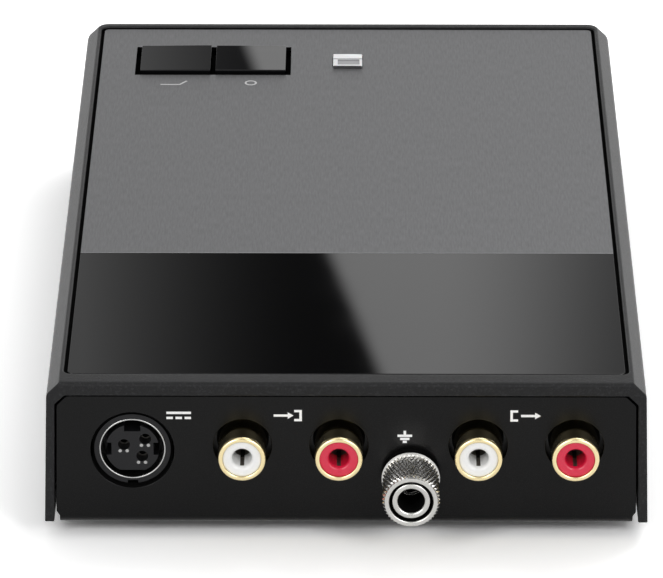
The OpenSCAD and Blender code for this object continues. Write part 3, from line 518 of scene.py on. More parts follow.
# Painted shade: warm dark for the insulators' wide bore, warm grey for the cut faces of the slot
# in it.
WARM_PAINTED_SHADE = Finish("warm dark painted shade", (0.018, 0.016, 0.013), 0.8, specular=0.2)
SLOT_PAINTED_SHADE = Finish("warm grey painted slot shade", (0.150, 0.135, 0.115), 0.7, specular=0.2)
# Painted shade on the lens's rear-facing side, and grey painted reflection in a pad and a groove
# on its top.
LENS_SIDE_SHADE = Finish("lens side, painted shade", (0.045, 0.045, 0.047), 0.22)
PAINTED_LENS_REFLECTION = Finish("grey painted lens reflection", (0.34, 0.34, 0.35), 0.20)
WHITE_PRINT = Finish("white print", (0.92, 0.92, 0.92), 0.55)
GREY_PRINT = Finish("light grey print", (0.50, 0.50, 0.50), 0.55)
SLOT_OF = {part["node"]: part["material_slot"] for part in frame["record"]["subparts"]}
BODY_OF = {node: body for body, nodes in frame["record"]["behaviour"]["bodies"].items()
           for node in nodes}


# ---------- shapes ----------


@cache
def node_box(node: str) -> tuple[Vector, Vector]:
    """Lowest and highest corner of a node at rest."""
    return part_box(node)


def finished(name: str, form: Form, finish: Finish, weigh: bool = True) -> Piece:
    """Turn a form into a piece with smooth faces, crisp edges and a material.

    Args:
        name: Name of the piece.
        form: The form, which is freed.
        finish: What the surface is made of.
        weigh: Whether large faces keep their own flat normals.

    Returns:
        The piece, in the scene.
    """
    mesh = bpy.data.meshes.new(name)
    form.to_mesh(mesh)
    form.free()
    for face in mesh.polygons:
        face.use_smooth = True
    mesh.set_sharp_from_angle(angle=EDGE)
    mesh.materials.append(finish.material())
    piece = bpy.data.objects.new(name, mesh)
    bpy.context.scene.collection.objects.link(piece)
    if weigh:
        piece.modifiers.new("flat faces", "WEIGHTED_NORMAL").keep_sharp = True
        bake_modifiers(piece)
    return piece


def bake_modifiers(piece: Piece) -> None:
    """Turn what a piece's modifiers make into its own mesh.

    Args:
        piece: The piece.
    """
    graph = bpy.context.evaluated_depsgraph_get()
    mesh = bpy.data.meshes.new_from_object(piece.evaluated_get(graph), depsgraph=graph)
    piece.modifiers.clear()
    piece.data = mesh


def settle(piece: Piece, node: str, *more_nodes: str) -> Piece:
    """Let a piece stand for a node: it joins the node's body and the node is hidden.

    Args:
        piece: The piece.
        node: The node whose body the piece joins and which it hides.
        more_nodes: Further nodes that the piece stands for.

    Returns:
        The same piece.
    """
    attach(piece, BODY_OF[node])
    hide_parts(node, *more_nodes)
    return piece


def piece_name(node: str) -> str:
    """Name of the piece that stands for a node."""
    return node.title().replace("_", "")


def solid_of(node: str) -> Form:
    """Copy a node's solid, with each flat side as one face.

    Args:
        node: The node.

    Returns:
        The form.
    """
    form = bmesh.new()
    form.from_mesh(frame["nodes"][node].data)
    bmesh.ops.remove_doubles(form, verts=form.verts, dist=MERGE)
    bmesh.ops.dissolve_limit(form, angle_limit=FLAT, verts=form.verts, edges=form.edges)
    return form


def softened(node: str, radius: float, steps: int = 2, width_at: EdgeWidth | None = None,
             painted_at: FaceTest | None = None) -> Piece:
    """Make a node's solid again with its sharp edges rounded.

    Args:
        node: The node.
        radius: Width of the rounding.
        steps: Number of strips in the rounding.
        width_at: Gives the rounding's width from an edge's two ends, where it differs.
        painted_at: Tells from a face's middle and direction whether it gets the dull black painted
            shade.

    Returns:
        The piece that stands for the node.
    """
    form = solid_of(node)
    widest = weigh_edges(form, width_at) if width_at else radius
    piece = finished(piece_name(node), form, FINISHES[SLOT_OF[node]], weigh=False)
    bevel = piece.modifiers.new("rounded edges", "BEVEL")
    bevel.width = widest
    bevel.segments = steps
    bevel.limit_method = "WEIGHT" if width_at else "ANGLE"
    bevel.angle_limit = EDGE
    bevel.use_clamp_overlap = width_at is None
    piece.modifiers.new("flat faces", "WEIGHTED_NORMAL")
    bake_modifiers(piece)
    if painted_at:
        paint_faces(piece, painted_at)
    return settle(piece, node)


def paint_faces(piece: Piece, painted_at: FaceTest, finish: Finish = PAINTED_SHADE) -> None:
    """Paint some of a piece's faces with another finish.

    Args:
        piece: The piece.
        painted_at: Tells from a face's middle and direction whether it gets the other finish.
        finish: The other finish; every use paints shade, except on the thumb nut's knurl, where it
            paints light.
    """
    piece.data.materials.append(finish.material())
    for face in piece.data.polygons:
        if painted_at(face.center, face.normal):
            face.material_index = len(piece.data.materials) - 1


def redress(piece: Piece, finish: Finish) -> Piece:
    """Give a piece another finish than its slot's usual one."""
    piece.data.materials[0] = finish.material()
    return piece


def weigh_edges(form: Form, width_at: EdgeWidth) -> float:
    """Give each sharp edge the weight of its rounding.

    Args:
        form: The form.
        width_at: Gives the rounding's width from an edge's two ends.

    Returns:
        The widest rounding, which has a weight of 1.
    """
    weight = form.edges.layers.float.new("bevel_weight_edge")
    widths = {edge: width_at(edge.verts[0].co, edge.verts[1].co) for edge in form.edges
              if len(edge.link_faces) == 2 and edge.calc_face_angle() > EDGE}
    widest = max(widths.values())
    for edge, width in widths.items():
        edge[weight] = width / widest
    return widest


def eased(corners: Sequence[Corner], steps: int = 4, closed: bool = True) -> list[Point2]:
    """Round the corners of an outline.

    Args:
        corners: Each corner's two coordinates and how far its rounding reaches along the sides.
        steps: Number of strips in each rounding.
        closed: Whether the last corner joins the first.

    Returns:
        The points of the rounded outline.
    """
    longest_share = 0.49
    points: list[Point2] = []
    count = len(corners)
    for i, (a, b, reach) in enumerate(corners):
        here = Vector((a, b))
        if reach <= 0 or (not closed and i in (0, count - 1)):
            points.append((a, b))
            continue
        before = Vector(corners[i - 1][:2]) - here
        after = Vector(corners[(i + 1) % count][:2]) - here
        start = here + before.normalized() * min(reach, before.length * longest_share)
        end = here + after.normalized() * min(reach, after.length * longest_share)
        for k in range(steps + 1):
            t = k / steps
            point = start * (1 - t) ** 2 + here * 2 * t * (1 - t) + end * t ** 2
            points.append((point.x, point.y))
    return points


def ring_faces(form: Form, rings: Sequence[Sequence[bmesh.types.BMVert]],
               closed: bool) -> None:
    """Join rings of points with faces.

    Args:
        form: The form that holds the points.
        rings: The rings, with as many points each.
        closed: Whether the last ring joins the first.
    """
    pairs = list(zip(rings, rings[1:]))
    if closed:
        pairs.append((rings[-1], rings[0]))
    for first, second in pairs:
        for i in range(len(first)):
            j = (i + 1) % len(first)
            form.faces.new((first[i], first[j], second[j], second[i]))


def turned(profile: Sequence[Point2], x: float, z: float, steps: int = 128,
           closed: bool = True) -> Form:
    """Turn a profile round an axis along Y.

    Args:
        profile: Points of radius and Y.
        x: Place of the axis.
        z: Height of the axis.
        steps: Number of points round the axis.
        closed: Whether the profile's last point joins the first.

    Returns:
        The form.
    """
    form = bmesh.new()
    rings = []
    for radius, y in profile:
        rings.append([form.verts.new((x + radius * math.cos(math.tau * i / steps), y,
                                      z + radius * math.sin(math.tau * i / steps)))
                      for i in range(steps)])
    ring_faces(form, rings, closed)
    bmesh.ops.remove_doubles(form, verts=form.verts, dist=MERGE)
    bmesh.ops.dissolve_degenerate(form, edges=form.edges, dist=MERGE)
    bmesh.ops.recalc_face_normals(form, faces=form.faces)
    return form


def carve(piece: Piece, cutter: Form, finish: Finish) -> None:
    """Cut a form out of a piece.

    Args:
        piece: The piece.
        cutter: The form that is cut out, which is freed.
        finish: What the cut's own faces are made of.
    """
    mesh = bpy.data.meshes.new("cutter")
    bmesh.ops.recalc_face_normals(cutter, faces=cutter.faces)
    cutter.to_mesh(mesh)
    cutter.free()
    mesh.materials.append(finish.material())
    tool = bpy.data.objects.new("cutter", mesh)
    bpy.context.scene.collection.objects.link(tool)
    cut = piece.modifiers.new("cut", "BOOLEAN")
    cut.operation, cut.solver, cut.material_mode = "DIFFERENCE", "EXACT", "TRANSFER"
    cut.object = tool
    bake_modifiers(piece)
    bpy.data.objects.remove(tool)
    bpy.data.meshes.remove(mesh)


def add_box(form: Form, low: Sequence[float], high: Sequence[float]) -> None:
    """Add a box to a form.

    Args:
        form: The form.
        low: Lowest corner.
        high: Highest corner.
    """
    made = bmesh.ops.create_cube(form, size=1.0)["verts"]
    for vert in made:
        vert.co = Vector(low[i] + (vert.co[i] + 0.5) * (high[i] - low[i]) for i in range(3))


# ---------- printed marks ----------


class Facing(Enum):
    """Which face of the preamp a mark is printed on, as its right, up and outward directions."""

    REAR = ((-1, 0, 0), (0, 0, 1), (0, 1, 0))
    TOP = ((1, 0, 0), (0, 1, 0), (0, 0, 1))


@dataclass
class Mark:
    """A plain printed sign, drawn with strokes and filled shapes in millimetres."""

    name: str
    centre: Place
    facing: Facing
    finish: Finish = WHITE_PRINT
    ink: float = 0.02 * MM
    strokes: list[tuple[list[Point2], float]] = field(default_factory=list)
    fills: list[list[Point2]] = field(default_factory=list)

    def stroke(self, path: list[Point2], width: float) -> "Mark":
        """Add a line of the given width along a path."""
        self.strokes.append((path, width))
        return self

    def fill(self, outline: list[Point2]) -> "Mark":
        """Add a filled outline."""
        self.fills.append(outline)
        return self

    def build(self, body: str = "enclosure") -> Piece:
        """Make the print's mesh.

        Args:
            body: The body that carries the print.

        Returns:
            The piece.
        """
        form = bmesh.new()
        for outline in self.fills:
            form.faces.new([form.verts.new(self._place(point)) for point in outline])
        for path, width in self.strokes:
            self._ribbon(form, path, width)
        out = Vector(self.facing.value[2])
        top = bmesh.ops.extrude_face_region(form, geom=list(form.faces))["geom"]
        bmesh.ops.translate(form, vec=out * self.ink,
                            verts=[item for item in top if isinstance(item, bmesh.types.BMVert)])
        bmesh.ops.recalc_face_normals(form, faces=form.faces)
        piece = finished(self.name, form, self.finish, weigh=False)
        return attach(piece, body)

    def _place(self, point: Point2) -> Vector:
        """Where a point of the drawing lies on the face."""
        right, up, _ = (Vector(axis) for axis in self.facing.value)
        return Vector(self.centre) + (right * point[0] + up * point[1]) * MM

    def _ribbon(self, form: Form, path: list[Point2], width: float) -> None:
        """Add one stroke's faces, with mitred joints.

        Args:
            form: The form that gets the faces.
            path: The stroke's path, which is closed where it ends at its start.
            width: The stroke's width.
        """
        closed = (Vector(path[0]) - Vector(path[-1])).length < JOINED
        points = [Vector(p) for p in (path[:-1] if closed else path)]
        count = len(points)
        sides = []
        for i, here in enumerate(points):
            before = (here - points[i - 1]).normalized() if closed or i > 0 else None
            going_on = closed or i < count - 1
            after = (points[(i + 1) % count] - here).normalized() if going_on else None
            ahead = ((before or after) + (after or before)).normalized()
            mitre = ahead.dot(after or before)
            across = Vector((-ahead.y, ahead.x)) * (width / 2 / mitre)
            sides.append([form.verts.new(self._place(here + across)),
                          form.verts.new(self._place(here - across))])
        for i in range(count if closed else count - 1):
            first, second = sides[i], sides[(i + 1) % count]
            form.faces.new((first[0], first[1], second[1], second[0]))


def circle(radius: float, steps: int = 40) -> list[Point2]:
    """Closed round path about the drawing's middle."""
    return [(radius * math.cos(math.tau * i / steps), radius * math.sin(math.tau * i / steps))
            for i in range(steps)] + [(radius, 0.0)]


@dataclass
class PrintedMarks:
    """Plain signs by the sockets and buttons."""

    line: float = 0.44
    thin_line: float = 0.36
    slope_line: float = 0.38
    panel_height: float = 23.7 * MM
    ground_height: float = 19.9 * MM
    button_row: float = -55.6 * MM
    supply_x: float = 28.6 * MM
    input_x: float = 10.2 * MM
    output_x: float = -30.6 * MM
    ground_x: float = -10.0 * MM
    filter_x: float = 33.3 * MM
    mono_x: float = 18.6 * MM

    def build(self) -> list[Piece]:
        """Print every mark.

        Returns:
            The marks.
        """
        panel = node_box("chassis")[1].y
        plate = node_box("brushed_plate")[1].z
        ground = (self.ground_x, panel, self.ground_height)
        marks = [
            self._supply(self._on_panel("SupplySign", self.supply_x, panel)),
            self._arrow(self._on_panel("InputSign", self.input_x, panel), inwards=True),
            self._arrow(self._on_panel("OutputSign", self.output_x, panel), inwards=False),
            self._earth(Mark("GroundSign", ground, Facing.REAR)),
            self._filter(self._on_plate("FilterSign", self.filter_x, plate)),
            self._single(self._on_plate("MonoSign", self.mono_x, plate)),
        ]
        return [mark.build() for mark in marks]

    def _on_panel(self, name: str, x: float, panel: float) -> Mark:
        """An empty mark in the rear panel's upper row."""
        return Mark(name, (x, panel, self.panel_height), Facing.REAR)

    def _on_plate(self, name: str, x: float, plate: float) -> Mark:
        """An empty mark in the row behind the buttons."""
        return Mark(name, (x, self.button_row, plate), Facing.TOP, GREY_PRINT)

    def _supply(self, mark: Mark) -> Mark:
        """Draw direct current: a bar over three dashes.

        Args:
            mark: The empty mark.

        Returns:
            The same mark.
        """
        half, gap, pitch, half_dash = 2.1, 0.48, 1.55, 0.55
        mark.stroke([(-half, gap), (half, gap)], self.line)
        for centre in (-pitch, 0.0, pitch):
            mark.stroke([(centre - half_dash, -gap), (centre + half_dash, -gap)], self.line)
        return mark

    def _arrow(self, mark: Mark, inwards: bool) -> Mark:
        """Draw an arrow into or out of an open frame.

        Args:
            mark: The empty mark.
            inwards: Whether the arrow points into the frame.

        Returns:
            The same mark.
        """
        half, mouth, back = 0.85, 1.3, 2.4
        length, head, half_head = 3.4, 1.0, 0.62
        side, tip = (1.0, 1.2) if inwards else (-1.0, 2.6)
        mark.stroke([(side * mouth, half), (side * back, half), (side * back, -half),
                     (side * mouth, -half)], self.line)
        mark.stroke([(tip - length, 0.0), (tip - head, 0.0)], self.line)
        mark.fill([(tip - head, half_head), (tip - head, -half_head), (tip, 0.0)])
        return mark

    def _earth(self, mark: Mark) -> Mark:
        """Draw ground: a stem over three bars that get shorter.

        Args:
            mark: The empty mark.

        Returns:
            The same mark.
        """
        top, foot = 0.95, 0.18
        mark.stroke([(0.0, top), (0.0, foot)], self.line)
        for level, half in ((0.0, 1.25), (-0.6, 0.8), (-1.15, 0.35)):
            mark.stroke([(-half, level), (half, level)], self.line)
        return mark

    def _filter(self, mark: Mark) -> Mark:
        """Draw a low cut: a slope that runs up to a level line."""
        return mark.stroke([(-2.4, -0.95), (-1.1, 0.85), (2.6, 0.85)], self.slope_line)

    def _single(self, mark: Mark) -> Mark:
        """Draw one ring, for one channel."""
        return mark.stroke(circle(1.0), self.thin_line)


# ---------- sub-assemblies ----------

JACK_SIDES = ("input_left", "input_right", "output_left", "output_right")


@dataclass
class Enclosure:
    """Cover, chassis, feet and the screws that hold the cover."""

    cover_edge: float = 0.20 * MM
    rim_edge: float = 0.42 * MM
    rear_edge: float = 0.75 * MM
    shoulder_edge: float = 0.55 * MM
    cavity_edge: float = 0.90 * MM
    panel_corner: float = 0.80 * MM
    corner_reach: float = 2.5 * MM
    corner_half: float = 45 * MM
    shoulder_drop: float = 2.2 * MM
    side_length: float = 150 * MM
    cavity_drop: Band = (2.3 * MM, 4.5 * MM)
    cavity_half: float = 50 * MM
    recess_half: float = 48.3 * MM
    recess_drop: Band = (0.32 * MM, 2.5 * MM)
    recess_front: float = 0.7 * MM
    panel_t: float = 1.2 * MM
    socket_reach: float = 2.0 * MM
    jack_reach: float = 1.2 * MM
    chassis_edge: float = 0.12 * MM
    screw_edge: float = 0.06 * MM
    foot_round: float = 1.0 * MM
    foot_dimple: float = 1.8 * MM
    foot_top: float = 0.15 * MM
    dimple_depth: float = 0.6 * MM
    dimple_slope: float = 0.5 * MM
    dimple_round: float = 0.3 * MM

    def build(self) -> list[Piece]:
        """Build the enclosure's pieces.

        Returns:
            The cover, the chassis, the cover's screws and the feet.
        """
        return [
            softened("cover", self.rear_edge, steps=4, width_at=self._cover_width,
                     painted_at=self._painted_shade_in_recess),
            softened("chassis", self.chassis_edge, steps=3, width_at=self._chassis_width,
                     painted_at=self._painted_shade_in_panel_hole),
            softened("cover_screws", self.screw_edge),
            self._feet(),
        ]

    def _cover_width(self, first: Vector, second: Vector) -> float:
        """Rounding of one of the cover's edges.

        Args:
            first: One end of the edge.
            second: The other end.

        Returns:
            The rounding's width.
        """
        _, high = node_box("cover")
        front = node_box("brushed_plate")[0].y - self.recess_front
        low_end = min(first.z, second.z)
        reach = max(abs(first.x), abs(second.x))
        if low_end > high.z - SAME:
            if min(first.y, second.y) > high.y - SAME:
                return self.rear_edge
            inside = reach < self.recess_half + SAME and min(first.y, second.y) > front
            return self.rim_edge if inside else self.cover_edge
        level = abs(first.z - second.z) < SAME
        if level and abs(high.z - self.shoulder_drop - low_end) < SAME:
            return self.shoulder_edge
        least_drop, most_drop = self.cavity_drop
        along = abs(first.y - second.y) > self.side_length
        if along and high.z - most_drop < low_end < high.z - least_drop:
            return self.cavity_edge if reach < self.cavity_half else self.cover_edge
        return self.cover_edge

    def _chassis_width(self, first: Vector, second: Vector) -> float:
        """Rounding of one of the chassis's edges.

        Args:
            first: One end of the edge.
            second: The other end.

        Returns:
            The rounding's width.
        """
        _, high = node_box("chassis")
        across = abs(first.x - second.x) < SAME and abs(first.z - second.z) < SAME
        if across and first.z > high.z - self.corner_reach and abs(first.x) > self.corner_half:
            return self.panel_corner
        return self.chassis_edge

    def _painted_shade_in_recess(self, middle: Vector, facing: Vector) -> bool:
        """Whether a face of the cover lies in the recess, the window or the lens's hole, where it
        gets painted black shade.

        Args:
            middle: The face's middle.
            facing: The face's direction.

        Returns:
            True for such a face.
        """
        _, high = node_box("cover")
        least_drop, most_drop = self.recess_drop
        deep = high.z - most_drop < middle.z < high.z - least_drop
        between = abs(middle.x) < self.recess_half + WIDE_SLACK
        front, rear = node_box("brushed_plate")[0].y - MM, node_box("gloss_plate")[1].y + MM
        return deep and facing.z > -HALF_TURNED and between and front < middle.y < rear

    def _painted_shade_in_panel_hole(self, middle: Vector, facing: Vector) -> bool:
        """Whether a face of the chassis is the wall of a hole in the rear panel; these walls get
        painted black shade.

        Args:
            middle: The face's middle.
            facing: The face's direction.

        Returns:
            True for such a face.
        """
        if abs(facing.y) > HALF_TURNED or middle.y < node_box("chassis")[1].y - self.panel_t:
            return False
        reaches = {"power_shield": self.socket_reach}
        reaches.update({f"{side}_shell": self.jack_reach for side in JACK_SIDES})
        for node, reach in reaches.items():
            low, high = node_box(node)
            radius = (high.x - low.x) / 2
            across = middle.x - (low.x + high.x) / 2
            above = middle.z - (high.z - radius)
            if math.hypot(across, above) < radius + reach:
                return True
        return False

    def _feet(self) -> Piece:
        """Make the four rubber feet, with a rounded rim and a dimple below.

        Returns:
            The piece.
        """
        low, high = node_box("rubber_feet")
        node = frame["nodes"]["rubber_feet"].data
        middle = (low + high) / 2
        reach = min(v.co.x for v in node.vertices if v.co.x > middle.x)
        radius = (high.x - reach) / 2
        form = bmesh.new()
        rim = eased([
            (0.0, self.dimple_depth, 0), (self.foot_dimple, self.dimple_depth, self.dimple_round),
            (self.foot_dimple + self.dimple_slope, 0.0, self.dimple_round),
            (radius, 0.0, self.foot_round), (radius, high.z, self.foot_top), (0.0, high.z, 0)],
            closed=False)
        for x in (low.x + radius, high.x - radius):
            for y in (low.y + radius, high.y - radius):
                part = turned(rim, 0.0, 0.0, steps=64, closed=False)
                for vert in part.verts:
                    vert.co = (x + vert.co.x, y - vert.co.z, vert.co.y)
                bmesh.ops.recalc_face_normals(part, faces=part.faces)
                mesh = bpy.data.meshes.new("foot")
                part.to_mesh(mesh)
                part.free()
                form.from_mesh(mesh)
                bpy.data.meshes.remove(mesh)
        return settle(finished("RubberFeet", form, FINISHES["black_rubber"]), "rubber_feet")


@dataclass
class TopPlates:
    """The brushed plate and the gloss plate in the cover's recess."""

    brushed_edge: float = 0.07 * MM
    gloss_edge: float = 0.10 * MM

    def build(self) -> list[Piece]:
        """Build both plates."""
        return [softened("brushed_plate", self.brushed_edge, painted_at=self._painted_shade_cut_side),
                softened("gloss_plate", self.gloss_edge)]

    @staticmethod
    def _painted_shade_cut_side(_middle: Vector, facing: Vector) -> bool:
        """Whether a face is one of the plate's cut sides, which are nearly upright and get painted
        black shade.
        """
        return abs(facing.z) < UPRIGHT


@dataclass
class PushButtons:
    """Caps, guide, plungers, switches and springs of the two push buttons."""

    cap_edge: float = 0.28 * MM
    cap_top: float = 0.7 * MM
    inner_edge: float = 0.10 * MM
    leans: tuple[tuple[str, float], ...] = (
        ("filter_button", math.radians(-0.62)), ("mono_button", math.radians(0.04)))

    def build(self) -> list[Piece]:
        """Build the buttons' pieces.

        Returns:
            The caps, the guide, the plungers and the switches; the springs keep their own solids.
        """
        pieces = [self._leaning_cap(node, lean) for node, lean in self.leans]
        # The guide, seen only down the gap round the caps, gets painted black shade.
        pieces.append(redress(softened("button_guide", self.inner_edge), PAINTED_SHADE))
        for node in ("filter_plunger", "mono_plunger", "filter_switch", "mono_switch"):
            pieces.append(softened(node, self.inner_edge))
        return pieces

    def _leaning_cap(self, node: str, lean: float) -> Piece:
        """Cap whose top leans a little, as a cap sits in its guide with some play.

        Args:
            node: The cap's node.
            lean: Angle by which its top rises towards +X.

        Returns:
            The cap.
        """
        cap = softened(node, self.cap_edge, steps=4)
        low, high = node_box(node)
        middle = (low.x + high.x) / 2
        for vert in cap.data.vertices:
            if vert.co.z > high.z - self.cap_top:
                vert.co.z += math.tan(lean) * (vert.co.x - middle)
        return cap


@dataclass
class Indicator:
    """Lens in the top plate and the lamp below it."""

    edge: float = 0.18 * MM
    ridge: float = 0.45
    drop: float = 0.16 * MM
    groove: float = 0.34 * MM
    pad_side: float = 0.55 * MM
    pad_edge: float = 0.9 * MM
    pad_depth: float = 0.20 * MM
    shown: float = 3.0 * MM
    rearwards: float = 0.6

    def build(self) -> list[Piece]:
        """Build the lens with its two sloping facets; the lamp keeps its own solid."""
        return [self._lens()]

    def _lens(self) -> Piece:
        """Make the milky block whose top falls away on both sides of a ridge; its rear-facing side
        gets painted shade, and a shallow pad and a groove in its top get grey painted reflection.

        Returns:
            The lens.
        """
        form = solid_of("indicator_lens")
        top = max(v.co.z for v in form.verts)
        head = [v for v in form.verts if v.co.z > top - MERGE]
        half = max(v.co.x for v in head)
        front, rear = min(v.co.y for v in head), max(v.co.y for v in head)
        ridge_y = front + (rear - front) * self.ridge
        bmesh.ops.bisect_plane(form, geom=form.verts[:] + form.edges[:] + form.faces[:],
                               plane_co=(0, ridge_y, 0), plane_no=(0, 1, 0))
        for vert in form.verts:
            if vert.co.z > top - MERGE:
                share = abs(vert.co.y - ridge_y) / (rear - front)
                vert.co.z -= self.drop * share
        piece = finished("IndicatorLens", form, FINISHES["clear_lens"], weigh=False)
        bevel = piece.modifiers.new("rounded edges", "BEVEL")
        bevel.width, bevel.segments, bevel.limit_method = self.edge, 3, "ANGLE"
        piece.modifiers.new("flat faces", "WEIGHTED_NORMAL")
        bake_modifiers(piece)
        # The side that faces rearwards gets painted shade.
        paint_faces(piece, lambda middle, facing: facing.y > self.rearwards
                   and middle.z > top - self.shown, LENS_SIDE_SHADE)
        # A shallow pad and a groove in the top get grey painted reflection.
        cutter = bmesh.new()
        add_box(cutter, (-half + self.pad_side, ridge_y + self.groove, top - self.pad_depth),
                (half - self.pad_edge, rear - self.pad_side, top + MM))
        add_box(cutter, (-half - MM, ridge_y - self.groove / 2, top - self.pad_depth),
                (half + MM, ridge_y + self.groove / 2, top + MM))
        carve(piece, cutter, PAINTED_LENS_REFLECTION)
        return settle(piece, "indicator_lens")


@dataclass
class PowerInlet:
    """Round power socket: body, insert, shield and contacts."""

    body_edge: float = 0.14 * MM
    insert_edge: float = 0.16 * MM
    contact_edge: float = 0.05 * MM
    collar: float = 6.55 * MM
    strip: tuple[float, float, float] = (2.4 * MM, 2.4 * MM, 0.05 * MM)
    strip_inset: float = 0.5 * MM
    holes: tuple[Point2, ...] = ((-1.45, 0.8), (2.2, 1.85), (1.65, -1.4))
    highlight_places: tuple[Point2, Point2] = ((-0.66, -1.16), (0.54, -1.16))
    highlight_radius: float = 0.30
    highlight_height: float = 0.06 * MM
    shield_wall: float = 0.28 * MM
    shade: Band = (0.2 * MM, 1.4 * MM)
    rearwards: float = 0.9

    def build(self) -> list[Piece]:
        """Build the socket's pieces.

        Returns:
            The body, the insert, the contacts, the shield, the strip of painted shade and the dots
            of painted highlight.
        """
        body = softened("power_socket", self.body_edge, painted_at=self._painted_shade_by_collar)
        return [
            redress(body, SOCKET_MOULDING),
            redress(softened("power_insert", self.insert_edge, steps=3), SOCKET_MOULDING),
            redress(softened("power_contacts", self.contact_edge), SHADED_CONTACT),
            self._shield(),
            self._painted_shade_sheet(),
            self._painted_highlights(),
        ]

    @staticmethod
    def _middle() -> tuple[float, float]:
        """Place and height of the socket's axis."""
        low, high = node_box("power_shield")
        return (low.x + high.x) / 2, (low.z + high.z) / 2

    def _painted_shade_by_collar(self, middle: Vector, facing: Vector) -> bool:
        """Whether a face lies behind or beside the collar, where the rear panel shades it; these
        faces get painted black shade.

        Args:
            middle: The face's middle.
            facing: The face's direction.

        Returns:
            True for such a face.
        """
        x, z = self._middle()
        behind = node_box("power_socket")[1].y - middle.y
        beside = math.hypot(middle.x - x, middle.z - z) > self.collar - WIDE_SLACK
        shaded = self.shade[0] < behind < self.shade[1]
        return shaded and (facing.y > self.rearwards or beside)

    def _painted_shade_sheet(self) -> Piece:
        """Make the black strip of painted shade on the board, under the slot in the collar, where
        shade falls.

        Returns:
            The strip of painted shade.
        """
        x, _ = self._middle()
        width, length, height = self.strip
        end = node_box("power_socket")[1].y - self.strip_inset
        deck = node_box("circuit_board")[1].z
        form = bmesh.new()
        add_box(form, (x - width / 2, end - length, deck), (x + width / 2, end, deck + height))
        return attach(finished("SocketSlotShade", form, PAINTED_SHADE, weigh=False), BODY_OF["power_socket"])

    def _painted_highlights(self) -> Piece:
        """Make the small bright dots of painted highlight, two under each hole of the insert.

        Returns:
            The dots.
        """
        x, z = self._middle()
        place = (x, node_box("power_insert")[1].y, z)
        mark = Mark("PaintedHighlightDots", place, Facing.REAR, PAINTED_HIGHLIGHT, self.highlight_height)
        rim = circle(self.highlight_radius, steps=16)[:-1]
        for across, up in self.holes:
            for dx, dz in self.highlight_places:
                mark.fill([(across + dx + a, up + dz + b) for a, b in rim])
        return mark.build()

    def _shield(self) -> Piece:
        """Make the thin metal tube with a rolled lip.

        Returns:
            The shield.
        """
        low, high = node_box("power_shield")
        x, z = self._middle()
        radius = (high.x - low.x) / 2
        inner, lip = radius - self.shield_wall, self.shield_wall / 2
        profile = eased([(radius, low.y, 0), (radius, high.y, lip), (inner, high.y, lip),
                         (inner, low.y, 0)], steps=5)
        form = turned(profile, x, z)
        return settle(finished("PowerShield", form, SHIELD_NICKEL), "power_shield")


